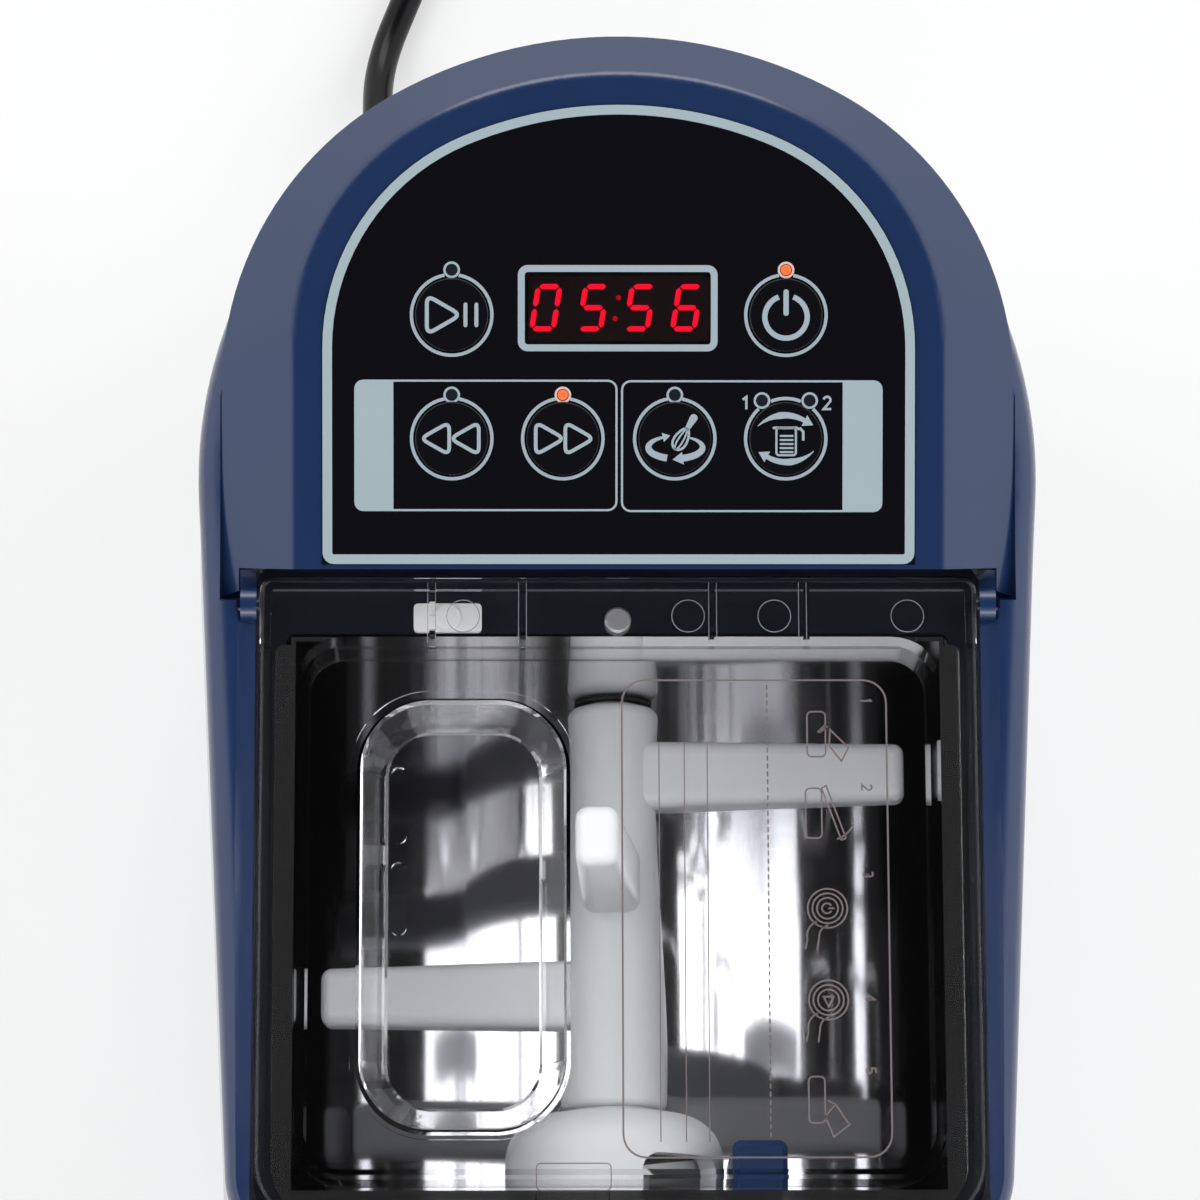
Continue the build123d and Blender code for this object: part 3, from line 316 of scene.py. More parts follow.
@dataclass(frozen=True)
class Finish(Look):
    """A surface's colour and gloss with the fine detail on it, and painted shade inside a box where one is
    given.
    """

    colour: Colour
    roughness: float = 0.4
    metallic: float = 0.0
    grain: Grain = Grain.MOULDED
    size: float = 0.5
    depth: float = 0.02
    shift: float = 0.06
    wear: float = 0.06
    centre: Place = (0, 0, 168)
    constants: dict[str, object] = field(default_factory=dict)
    # Box in millimetres inside which the colour is darkened as painted shade, and the share of the colour
    # kept there.
    painted_shade_box: tuple[Place, Place] | None = None
    painted_shade_share: float = 0.07
    patch_size: float = 26.0
    contrast: float = 3.0

    def _heights(self, paint: Paint) -> Wire:
        """Build the fine detail.

        Args:
            paint: Tree to build in.

        Returns:
            Height of the surface from 0 to 1.
        """
        if self.grain is Grain.BRUSHED:
            return paint.noise(self.size, paint.place(stretch=(1, 0.03, 1)))
        if self.grain is Grain.TURNED:
            return paint.waves("RINGS", self.size, paint.place(self.centre), "Y", 0.4)
        if self.grain is Grain.LAMINATED:
            return paint.waves("BANDS", self.size, paint.place(), "Y")
        if self.grain is Grain.WOUND:
            return paint.waves("RINGS", self.size, paint.place(self.centre), "Y", 1.2)
        if self.grain is Grain.TRACED:
            tracks = paint.waves("BANDS", self.size, paint.place(), "DIAGONAL", 6.0)
            return paint.ramp(tracks, (0.45, 0.0), (0.55, 1.0))
        return paint.noise(self.size, paint.place())

    def shader(self, paint: Paint) -> Wire:
        """Build the shader.

        Args:
            paint: Tree to build in.

        Returns:
            The shader.
        """
        heights = self._heights(paint)
        broad = paint.noise(self.patch_size, paint.place(), 3)
        strong = self.grain in (Grain.TRACED, Grain.WOUND, Grain.LAMINATED)
        marked = self.shift * self.contrast if strong else self.shift
        uneven = (broad - 0.5) * self.shift + (heights - 0.5) * marked
        dark = tuple(level * (1 - 2 * marked) for level in self.colour)
        light = tuple(min(1, level * (1 + 2 * marked)) for level in self.colour)
        colour = paint.blend(uneven * (0.5 / max(marked, 0.001)) + 0.5, dark, light)
        # Painted shade: inside the box the base colour is darkened to the share, standing in for the shade
        # that falls there.
        if self.painted_shade_box:
            painted_shade_colour = tuple(level * self.painted_shade_share for level in self.colour)
            colour = paint.blend(paint.inside(*self.painted_shade_box), colour, painted_shade_colour)
        values = {
            "Base Color": colour,
            "Roughness": (broad - 0.5) * (2 * self.wear) + self.roughness,
            "Metallic": self.metallic,
            "Normal": paint.bump(heights, self.depth),
            **self.constants,
        }
        return paint.node("ShaderNodeBsdfPrincipled", {}, values)


@dataclass(frozen=True)
class ClearPlastic(Look):
    """Clear plastic with a smoky tint and faint flow marks, which lets the lamps' light through."""

    tint: Colour
    light_tint: Colour
    roughness: float = 0.02
    ior: float = 1.49
    flow_size: float = 22.0
    flow_depth: float = 0.03

    def shader(self, paint: Paint) -> Wire:
        """Build the shader.

        Args:
            paint: Tree to build in.

        Returns:
            The shader.
        """
        flow = paint.noise(self.flow_size, paint.place(stretch=(1, 0.4, 1)), 2)
        values = {
            "Base Color": self.tint,
            "Roughness": (flow - 0.5) * 0.02 + self.roughness,
            "Normal": paint.bump(flow, self.flow_depth),
            "IOR": self.ior,
            "Transmission Weight": 1.0,
        }
        solid = paint.node("ShaderNodeBsdfPrincipled", {}, values)
        clear = paint.node("ShaderNodeBsdfTransparent", {}, {"Color": self.light_tint})
        return paint.node("ShaderNodeMixShader", {}, {0: paint.ray("Is Shadow Ray"), 1: solid, 2: clear})


@dataclass(frozen=True)
class Glow(Look):
    """A lit lamp or digit segment under a tinted skin."""

    skin: Colour
    light: Colour
    strength: float
    speckle_size: float = 0.35
    dimming: float = 0.75

    def shader(self, paint: Paint) -> Wire:
        """Build the shader.

        Args:
            paint: Tree to build in.

        Returns:
            The shader.
        """
        speckle = paint.noise(self.speckle_size, paint.place(), 1)
        dim = tuple(level * self.dimming for level in self.light)
        values = {
            "Base Color": self.skin,
            "Roughness": speckle * 0.1 + 0.25,
            "Emission Color": paint.blend(speckle, dim, self.light),
            "Emission Strength": self.strength,
        }
        return paint.node("ShaderNodeBsdfPrincipled", {}, values)


def smooth(name: str, code: str, roughness: float, size: float, depth: float, **others: float) -> Finish:
    """Give a smooth finish in a screen colour, with any other value by its name."""
    return Finish(name, tone(code), roughness, grain=Grain.PRINTED, size=size, depth=depth, **others)


def ink(name: str, code: str, roughness: float = 0.36, shift: float = 0.02) -> Finish:
    """Give the finish of a printed ink in a screen colour."""
    return smooth(name, code, roughness, 0.3, 0.002, shift=shift)


MOTOR_CENTRE = (0, 0, 56)
CLEAR_COAT = {"Coat Weight": 0.7, "Coat Roughness": 0.14}
DULL = {"Specular IOR Level": 0.28}
NAVY = Finish(
    "navy_gloss", tone("162e57"), 0.3, size=0.45, depth=0.006, shift=0.05, wear=0.04, constants=CLEAR_COAT
)
# Painted shade: inside the recess under the lid the navy is darkened almost to black, standing in for the
# shade there.
NAVY_DECK_PAINTED_SHADE = replace(NAVY, name="navy_gloss_deck_painted_shade", painted_shade_box=((-79.6, -113.2, 230.0), (79.6, 34.0, 249.5)))
NAVY_FRONT = Finish("navy_front", tone("1a3259"), 0.3, size=0.5, depth=0.008, shift=0.05)
PALE_GREY = Finish("pale_grey_satin", tone("c6cbd0"), 0.36, size=0.6, depth=0.012, shift=0.03)
FILM = smooth("film_gloss_black", "0d0d12", 0.14, 3.0, 0.004, wear=0.02)
KEY_CAP = smooth("key_gloss_black", "0e0e13", 0.16, 2.0, 0.004, wear=0.02)
# Painted highlight: an opaque pale finish for lines on the clear lid, standing in for the highlights its
# moulded edges catch.
EDGE_PAINTED_HIGHLIGHT = smooth("moulded_edge_painted_highlight", "8d9298", 0.2, 1.5, 0.004, shift=0.03)
UNLIT = smooth("lamp_unlit", "1b2127", 0.2, 0.4, 0.004)
INK = ink("ink_pale_blue_grey", "a3b4bb", 0.34)
INK_LINE = ink("ink_white_grey", "a2b1ba")
# Painted glow: the rings round lit lamps are printed in a warm pale ink that stands in for the lamps' light
# falling on them.
INK_PAINTED_LAMP_GLOW = ink("ink_painted_lamp_glow", "e0bfb8")
LEGEND = ink("legend_ink_brown_grey", "74696a", 0.45, 0.06)
WHITE = Finish("white_satin_plastic", tone("eff0f2"), 0.33, size=0.8, depth=0.008, shift=0.012, wear=0.03)
WHITE_SMALL = Finish("white_nylon", tone("dcdcdc"), 0.42, size=0.5, depth=0.012, shift=0.02)
SHEET = Finish("steel_mirror_sheet", (0.72, 0.72, 0.74), 0.07, 1.0, Grain.BRUSHED, 0.5, 0.002, 0.02, 0.02)
TURNED = Finish("steel_turned", (0.58, 0.58, 0.6), 0.24, 1.0, Grain.TURNED, 0.35, 0.006, 0.04, 0.04)
ROTOR = Finish(
    "rotor_steel", (0.5, 0.5, 0.52), 0.3, 1.0, Grain.TURNED, 0.5, 0.01, 0.05, centre=MOTOR_CENTRE
)
GEAR = Finish("gear_nylon", tone("d8d2c0"), 0.46, size=0.7, depth=0.02, shift=0.03)
CASE = Finish("case_black_glass_filled", tone("35353a"), 0.55, size=0.5, depth=0.03, shift=0.08)
ALUMINIUM = Finish("die_cast_aluminium", (0.6, 0.6, 0.61), 0.42, 1.0, size=1.2, depth=0.03, shift=0.05)
STACK = Finish(
    "stacked_sheets", (0.24, 0.25, 0.27), 0.38, 0.9, Grain.LAMINATED, 0.6, 0.03, 0.05, centre=MOTOR_CENTRE
)
COPPER = Finish(
    "copper_windings", (0.55, 0.21, 0.09), 0.3, 0.85, Grain.WOUND, 0.7, 0.12, 0.06, centre=MOTOR_CENTRE
)
BOARD = Finish("lacquered_board", (0.02, 0.13, 0.05), 0.34, grain=Grain.TRACED, size=1.4, depth=0.03)
SWITCH = Finish("switch_black", tone("2b2b2e"), 0.5, size=0.4, depth=0.02)
DARK_FACE = Finish("display_black", tone("100c0e"), 0.6, size=0.4, depth=0.01)
RUBBER = Finish("rubber_black", tone("1d1d1f"), 0.62, size=0.4, depth=0.03, shift=0.1)
CORD = Finish("cord_sheath", tone("0c0c0f"), 0.24, size=1.2, depth=0.008, shift=0.08, constants=DULL)
ZINC = Finish("zinc_screws", (0.55, 0.54, 0.5), 0.35, 1.0, size=0.5, depth=0.01)
BRASS = Finish("plug_brass", (0.75, 0.6, 0.33), 0.22, 1.0, Grain.BRUSHED, 0.3, 0.004)
CLEAR = ClearPlastic("lid_clear_smoke", (0.985, 0.985, 0.99), (0.965, 0.965, 0.97))
SMOKED = ClearPlastic("window_smoked", (0.62, 0.5, 0.52), (0.4, 0.35, 0.36), 0.03)
RED_SEGMENT = Glow("segment_lit", (0.3, 0.0, 0.01), (1.0, 0.004, 0.035), 1.8)
DIM_SEGMENT = Glow("segment_dim", (0.05, 0.0, 0.0), (0.6, 0.0, 0.01), 1.4)
ORANGE_LAMP = Glow("lamp_lit", (0.5, 0.08, 0.02), (1.0, 0.13, 0.03), 0.95)


# -------- drawing in a plane


@dataclass(frozen=True)
class Sheet:
    """A plane on the machine in which prints and small pieces are drawn, in millimetres."""

    origin: Place
    slope: float = 0.0

    def at(self, x: float, v: float, height: float) -> Vector:
        """Give the place of a point.

        Args:
            x: Distance to the right.
            v: Distance up the slope, or to the back on a level plane.
            height: Distance above the plane.

        Returns:
            The point in metres.
        """
        tilt = math.radians(self.slope)
        up = Vector((0, math.cos(tilt), math.sin(tilt)))
        out = Vector((0, -math.sin(tilt), math.cos(tilt)))
        return (Vector(self.origin) + Vector((x, 0, 0)) + up * v + out * height) * MM


PANEL = Sheet((0, 30.6, 257), 15)
LID_TOP = Sheet((0, 0, 251.5))
LID_UNDERSIDE = Sheet((0, 0, 248.7))


def arc(centre: Point, radius: float, start: float, end: float, steps: int = 24) -> list[Point]:
    """Give points along an arc, both ends included, by angles in degrees, anticlockwise from the right."""
    angles = [math.radians(start + (end - start) * step / steps) for step in range(steps + 1)]
    return [(centre[0] + radius * math.cos(a), centre[1] + radius * math.sin(a)) for a in angles]


def ring(centre: Point, radius: float) -> list[Point]:
    """Give 24 points round a circle."""
    return arc(centre, radius, 0, 345, 23)


def rounded(x_low: float, v_low: float, x_high: float, v_high: float, corner: float) -> list[Point]:
    """Give the outline of a rounded rectangle.

    Args:
        x_low: Left edge.
        v_low: Lower edge.
        x_high: Right edge.
        v_high: Upper edge.
        corner: Radius of the corners.

    Returns:
        Its points, anticlockwise.
    """
    points = []
    for x, v, start in (
        (x_high - corner, v_low + corner, -90),
        (x_high - corner, v_high - corner, 0),
        (x_low + corner, v_high - corner, 90),
        (x_low + corner, v_low + corner, 180),
    ):
        points += arc((x, v), corner, start, start + 90, 6)
    return points


def arch(half_width: float, front: float, crown_top: float, crown: float, shoulder: float) -> list[Point]:
    """Give the outline of the panel film: straight front and sides under a three-centred arch.

    Args:
        half_width: Half of its width.
        front: Its straight front edge.
        crown_top: Its highest point.
        crown: Radius of the middle arc.
        shoulder: Radius of the two side arcs.

    Returns:
        Its points, anticlockwise from the front left corner.
    """
    crown_v = crown_top - crown
    side = half_width - shoulder
    rise = math.sqrt((crown - shoulder) ** 2 - side**2)
    lean = math.degrees(math.atan2(side, rise))
    corner = 1.4
    points = arc((-half_width + corner, front + corner), corner, 180, 270, 4)
    points += arc((half_width - corner, front + corner), corner, -90, 0, 4)
    points += arc((side, crown_v + rise), shoulder, 0, 90 - lean, 18)
    points += arc((0, crown_v), crown, 90 - lean, 90 + lean, 36)[1:]
    return points + arc((-side, crown_v + rise), shoulder, 90 + lean, 180, 18)[1:]


def turned(points: list[Point], angle: float, move: Point = (0, 0)) -> list[Point]:
    """Turn points about the origin by an angle in degrees, anticlockwise, then move them."""
    c, s = math.cos(math.radians(angle)), math.sin(math.radians(angle))
    return [(x * c - v * s + move[0], x * s + v * c + move[1]) for x, v in points]


def softened(points: list[Point], reach: float, steps: int = 6) -> list[Point]:
    """Round the corners of a closed outline.

    Args:
        points: Its corners.
        reach: How far from each corner the rounding starts.
        steps: Number of pieces of each rounding.

    Returns:
        The points of the rounded outline.
    """
    made = []
    for before, corner, after in zip(points[-1:] + points[:-1], points, points[1:] + points[:1]):
        middle = Vector(corner)
        start = middle.lerp(Vector(before), reach / math.dist(corner, before))
        end = middle.lerp(Vector(after), reach / math.dist(corner, after))
        for step in range(steps + 1):
            share = step / steps
            made.append(tuple(start.lerp(middle, share).lerp(middle.lerp(end, share), share)))
    return made


def pill(start: Point, end: Point, width: float) -> list[Point]:
    """Give the outline of a bar with round ends, whose middles are given."""
    lean = math.degrees(math.atan2(end[1] - start[1], end[0] - start[0]))
    return arc(end, width / 2, lean - 90, lean + 90, 8) + arc(start, width / 2, lean + 90, lean + 270, 8)


def placed(name: str, data: bpy.types.ID) -> bpy.types.Object:
    """Make an object of its data in the scene.

    Args:
        name: Its name.
        data: Its mesh, curve, camera or light.

    Returns:
        The object.
    """
    made = bpy.data.objects.new(name, data)
    bpy.context.scene.collection.objects.link(made)
    return made


def shaped(name: str, mesh: bmesh.types.BMesh, look: Look) -> bpy.types.Object:
    """Make a dressed object of a mesh under construction.

    Args:
        name: Its name.
        mesh: The mesh, which is used up.
        look: Its finish.

    Returns:
        The object.
    """
    data = bpy.data.meshes.new(name)
    mesh.to_mesh(data)
    mesh.free()
    data.materials.append(look.material())
    return placed(name, data)


def piece(name: str, mesh: bmesh.types.BMesh, body: str, look: Look) -> None:
    """Make an object of a mesh under construction and let it ride on a body.

    Args:
        name: Its name.
        mesh: The mesh, which is used up.
        body: The body that it rides on.
        look: Its finish.
    """
    made = shaped(name, mesh, look)
    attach(made, body)
    LOG.info("piece %s rides on %s", name, body)


def wall(
    mesh: bmesh.types.BMesh,
    low: list[bmesh.types.BMVert],
    high: list[bmesh.types.BMVert],
    closed: bool = True,
    smooth_faces: bool = False,
) -> None:
    """Join two rows of points with faces.

    Args:
        mesh: The mesh that they belong to.
        low: One row.
        high: The other row, of the same length.
        closed: Whether the end of the rows joins their start.
        smooth_faces: Whether the faces are shaded smooth.
    """
    for step in range(len(low) if closed else len(low) - 1):
        after = (step + 1) % len(low)
        mesh.faces.new((low[step], low[after], high[after], high[step])).smooth = smooth_faces


class Print:
    """Lines and filled shapes of one ink layer, gathered into one thin mesh."""

    sharpest_mitre = 0.35
    shortest_step = 1e-6

    def __init__(self, sheet: Sheet, height: float, thickness: float, centre: Point = (0, 0)) -> None:
        """Start an empty layer at a height above a plane, drawn round a point of it, in millimetres."""
        self.sheet = sheet
        self.height = height
        self.thickness = thickness
        self.centre = centre
        self.mesh = bmesh.new()

    def _row(self, points: list[Point], height: float) -> list[bmesh.types.BMVert]:
        """Add one row of points at a height."""
        right, up = self.centre
        return [self.mesh.verts.new(self.sheet.at(right + x, up + v, height)) for x, v in points]

    def fill(self, points: list[Point]) -> None:
        """Add a filled shape.

        Args:
            points: Its outline.
        """
        low = self._row(points, self.height)
        high = self._row(points, self.height + self.thickness)
        wall(self.mesh, low, high)
        self.mesh.faces.new(high)
        self.mesh.faces.new(list(reversed(low)))

    def line(self, points: list[Point], width: float | list[float], closed: bool = False) -> None:
        """Add a line with mitred corners.

        Args:
            points: Its middle.
            width: Its width, or its width at each point.
            closed: Whether its end joins its start.
        """
        left, right = [], []
        count = len(points)
        widths = width if isinstance(width, list) else [width] * count
        for step, (x, v) in enumerate(points):
            before = points[step - 1] if step or closed else None
            after = points[(step + 1) % count] if step < count - 1 or closed else None
            ways = []
            for one, two in ((before, (x, v)), ((x, v), after)):
                if one and two and math.dist(one, two) > self.shortest_step:
                    run = math.dist(one, two)
                    ways.append(((one[1] - two[1]) / run, (two[0] - one[0]) / run))
            side = (sum(way[0] for way in ways), sum(way[1] for way in ways))
            size = math.hypot(*side)
            reach = widths[step] / 2 / max(size / len(ways), self.sharpest_mitre)
            shift = (side[0] / size * reach, side[1] / size * reach)
            left.append((x + shift[0], v + shift[1]))
            right.append((x - shift[0], v - shift[1]))
        top = self.height + self.thickness
        rows = [self._row(left, self.height), self._row(left, top), self._row(right, top)]
        rows.append(self._row(right, self.height))
        for one, two in zip(rows, rows[1:] + rows[:1]):
            wall(self.mesh, one, two, closed)
        if not closed:
            self.mesh.faces.new([row[0] for row in rows])
            self.mesh.faces.new([row[-1] for row in reversed(rows)])

    def build(self, name: str, body: str, slot: str, look: Look) -> None:
        """Make the layer a piece that rides on a body, in the finish that is given."""
        bmesh.ops.recalc_face_normals(self.mesh, faces=self.mesh.faces)
        piece(name, self.mesh, body, look)


# -------- studio


@dataclass(frozen=True)
class FloorPaint(Look):
    """Matt white that also shines a little where the camera sees it."""

    patch_size: float = 180.0
    shine: float = 0.45

    def shader(self, paint: Paint) -> Wire:
        """Build the shader.

        Args:
            paint: Tree to build in.

        Returns:
            The shader.
        """
        soft = paint.noise(self.patch_size, paint.place(), 2)
        colour = paint.blend(soft, (0.9, 0.9, 0.9), (0.93, 0.93, 0.93))
        matt = paint.node("ShaderNodeBsdfDiffuse", {}, {"Color": colour})
        white = paint.node("ShaderNodeEmission", {}, {"Color": (1, 1, 1), "Strength": 1.0})
        seen = paint.ray("Is Camera Ray") * self.shine
        return paint.node("ShaderNodeMixShader", {}, {0: seen, 1: matt, 2: white})


@dataclass(frozen=True)
class Studio:
    """Camera, floor, world and lamps, in metres."""

    camera_place: Place = (-0.020, -0.2397, 1.4261)
    forward: Place = (0.0, 0.2198, -0.9755)
    upward: Place = (0.0, 0.9755, 0.2198)
    side_step: float = 0.01327
    lens: float = 165.0
    floor_half: float = 4.0
    floor_drop: float = 0.0002
    ambient: float = 0.42
    target: Place = (0, 0.02, 0.2)
    lamps: tuple[tuple[str, Place, Point, float, bool], ...] = (
        ("lamp_left", (-1.25, 0.25, 1.15), (0.9, 1.5), 11.0, False),
        ("lamp_right", (1.3, 0.15, 1.2), (0.9, 1.5), 13.0, False),
        ("lamp_back", (0.0, 1.5, 1.25), (1.4, 0.7), 8.0, True),
        ("lamp_front", (0.0, -1.6, 1.0), (1.4, 0.6), 7.0, True),
    )

    def build(self) -> None:
        """Set the stage."""
        self._camera()
        self._floor()
        self._world()
        for lamp in self.lamps:
            self._lamp(*lamp)
        bpy.context.scene.view_settings.view_transform = "Standard"
        LOG.info("studio is set")

    def _camera(self) -> None:
        """Place the camera."""
        data = bpy.data.cameras.new("camera")
        data.lens = self.lens
        data.sensor_width = 36
        data.clip_start = 0.05
        data.clip_end = 50
        back = -(Vector(self.forward) + Vector((self.side_step, 0, 0))).normalized()
        up = Vector(self.upward).normalized()
        right = up.cross(back).normalized()
        up = back.cross(right)
        turn = Matrix((right, up, back)).transposed()
        made = placed("camera", data)
        made.matrix_world = Matrix.Translation(self.camera_place) @ turn.to_4x4()
        bpy.context.scene.camera = made

    def _floor(self) -> None:
        """Lay a pale floor that keeps the shadows."""
        mesh = bmesh.new()
        bmesh.ops.create_grid(mesh, x_segments=8, y_segments=8, size=self.floor_half)
        made = shaped("floor", mesh, FloorPaint("floor_white"))
        made.location = (0, 0, -self.floor_drop)

    def _world(self) -> None:
        """Light the room softly, with a dark ceiling above the camera for what glossy surfaces show."""
        world = bpy.data.worlds.new("studio_world")
        bpy.context.scene.world = world
        world.use_nodes = True
        paint = Paint(world.node_tree)
        direction = paint.node("ShaderNodeTexCoord", output=0)
        height = paint.node("ShaderNodeSeparateXYZ", {}, {0: direction}, 2)
        ceiling = paint.ramp(height, (0.0, 1.0), (0.66, 0.95), (0.9, 0.03), (1.0, 0.02))
        mirrored = paint.ray("Is Glossy Ray").most(paint.ray("Is Transmission Ray"))
        direct = paint.ray("Diffuse Depth") < 0.5
        lit = paint.blend(mirrored * direct, (self.ambient,) * 3, ceiling)
        colour = paint.blend(paint.ray("Is Camera Ray"), lit, (1, 1, 1))
        sky = paint.node("ShaderNodeBackground", {}, {"Color": colour, "Strength": 1.0})
        paint.node("ShaderNodeOutputWorld", {}, {"Surface": sky})

    def _lamp(self, name: str, place: Place, size: Point, power: float, mirrored: bool) -> None:
        """Hang a soft lamp that shines at the target.

        Args:
            name: Its name.
            place: Its middle.
            size: Its width and height.
            power: Its power in watts.
            mirrored: Whether glossy surfaces show it.
        """
        data = bpy.data.lights.new(name, "AREA")
        data.shape = "RECTANGLE"
        data.size, data.size_y = size
        data.energy = power
        made = placed(name, data)
        made.location = place
        made.visible_glossy = mirrored
        made.rotation_mode = "QUATERNION"
        made.rotation_quaternion = (Vector(self.target) - Vector(place)).to_track_quat("-Z", "Y")


# -------- sub-assemblies


@dataclass(frozen=True)
class Assembly:
    """A sub-assembly, with the finishes of its CAD nodes and the pieces that are drawn here."""

    finishes: ClassVar[dict[str, Look]] = {}

    def draw(self, frame: dict) -> None:
        """Add the pieces that are drawn here, which not every sub-assembly has."""

    def build(self, frame: dict) -> None:
        """Dress the nodes and add the drawn pieces.

        Args:
            frame: The loaded frame.
        """
        for name, look in self.finishes.items():
            for place in frame["nodes"][name].material_slots:
                place.material = look.material()
            LOG.info("node %s is %s", name, look.name)
        self.draw(frame)


@dataclass(frozen=True)
class MainsCord(Assembly):
    """The cord, in metres: from its strain relief down to the table and into a tied coil beside the plug."""

    finishes = {"plug_body": CORD, "plug_blades": BRASS, "strain_relief": RUBBER, "cord_tie": WHITE_SMALL}
    diameter: float = 0.008
    length: float = 1.05
    exit: Place = (-0.058, 0.168, 0.022)
    route: tuple[Place, ...] = (
        (-0.058, 0.168, 0.022),
        (-0.058, 0.188, 0.022),
        (-0.0603, 0.209, 0.0154),
        (-0.06, 0.229, 0.0052),
        (-0.0515, 0.251, 0.0042),
        (-0.0435, 0.271, 0.0044),
        (-0.0425, 0.294, 0.0044),
    )
    coil_centre: Point = (0.004, 0.316)
    turns: tuple[Point, ...] = ((0.0472, 0.0048), (0.0392, 0.0048), (0.0392, 0.0128), (0.0472, 0.0128))
    points_per_turn: int = 16
    points_to_next: int = 4
    points_of_last: int = 3
    last_points: tuple[Place, ...] = (
        (-0.0135, 0.3655, 0.0118),
        (-0.002, 0.3688, 0.0098),
        (0.012, 0.369, 0.0092),
    )

    def draw(self, frame: dict) -> None:
        """Lay the cord.

        Args:
            frame: The loaded frame, which is not used.
        """
        curve = bpy.data.curves.new("mains_cord", "CURVE")
        curve.dimensions = "3D"
        curve.bevel_depth = self.diameter / 2
        curve.bevel_resolution = 6
        curve.resolution_u = 8
        curve.use_fill_caps = True
        points = [*self.route, *self._coil(), *self.last_points]
        spline = curve.splines.new("NURBS")
        spline.points.add(len(points) - 1)
        for target, point in zip(spline.points, points):
            target.co = (*point, 1)
        spline.order_u = 3
        spline.use_endpoint_u = True
        made = placed("mains_cord", curve)
        curve.materials.append(CORD.material())
        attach(made, "base")
        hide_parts("power_cord", "cord_coil")

    def _coil(self) -> list[Place]:
        """Give the points of the coil's turns.

        Returns:
            Points from where the cord joins the coil to where it leaves for the plug.
        """
        count, final = self.points_per_turn, len(self.turns) - 1
        # A spline of this order runs inside its points, at this share of their radius.
        tighten = 0.75 + 0.25 * math.cos(2 * math.pi / count)
        points = []
        for step in range(final * count + self.points_of_last):
            turn, part = divmod(step, count)
            before, after = self.turns[turn], self.turns[min(turn + 1, final)]
            late = (part - count + self.points_to_next) / self.points_to_next
            share = max(0.0, late) if turn < final else 0.0
            radius = (before[0] + (after[0] - before[0]) * share) / tighten
            height = before[1] + (after[1] - before[1]) * share
            angle = math.pi - 2 * math.pi * step / count
            x = self.coil_centre[0] + radius * math.cos(angle)
            y = self.coil_centre[1] + radius * math.sin(angle)
            points.append((x, y, height))
        return points


@dataclass(frozen=True)
class Casing(Assembly):
    """Outer shells, front panel and base."""

    finishes = {
        "lower_casing": PALE_GREY,
        "upper_casing": NAVY_DECK_PAINTED_SHADE,
        "control_hood": NAVY,
        "front_panel": NAVY_FRONT,
        "base_plate": CASE,
        "rubber_feet": RUBBER,
        "base_screws": ZINC,
    }


@dataclass(frozen=True)
class MixingChamber(Assembly):
    """Trough, rod, feed screw, barrel, die, ring and the lid's catch."""

    finishes = {
        "mixing_trough": SHEET,
        "trough_back_plate": SHEET,
        "mixing_rod": WHITE,
        "feed_screw": WHITE_SMALL,
        "extrusion_barrel": WHITE,
        "barrel_lock": NAVY_FRONT,
        "noodle_die": WHITE,
        "die_ring": PALE_GREY,
        "interlock_plunger": WHITE_SMALL,
        "interlock_switch": SWITCH,
        "ledge_pin": TURNED,
    }


@dataclass(frozen=True)
class Drive(Assembly):
    """Gear train, motor and electrics."""

    finishes = {
        "output_gear": GEAR,
        "idler_gear": GEAR,
        "idler_pinion": TURNED,
        "motor_pinion": TURNED,
        "gear_cover": CASE,
        "gear_case": CASE,
        "case_mounts": RUBBER,
        "idler_pin": TURNED,
        "drive_shaft": TURNED,
        "shaft_bearings": TURNED,
        "shaft_seal": RUBBER,
        "motor_core": STACK,
        "motor_windings": COPPER,
        "motor_front_bell": ALUMINIUM,
        "motor_rear_bell": ALUMINIUM,
        "motor_bearings": TURNED,
        "motor_rotor": ROTOR,
        "motor_fan": CASE,
        "run_capacitor": ALUMINIUM,
        "power_board": BOARD,
    }


# -------- key panel


class Digit(Enum):
    """Segments of a seven-segment digit that are lit."""

    ZERO = "abcdef"
    FIVE = "afgcd"
    SIX = "afgedc"


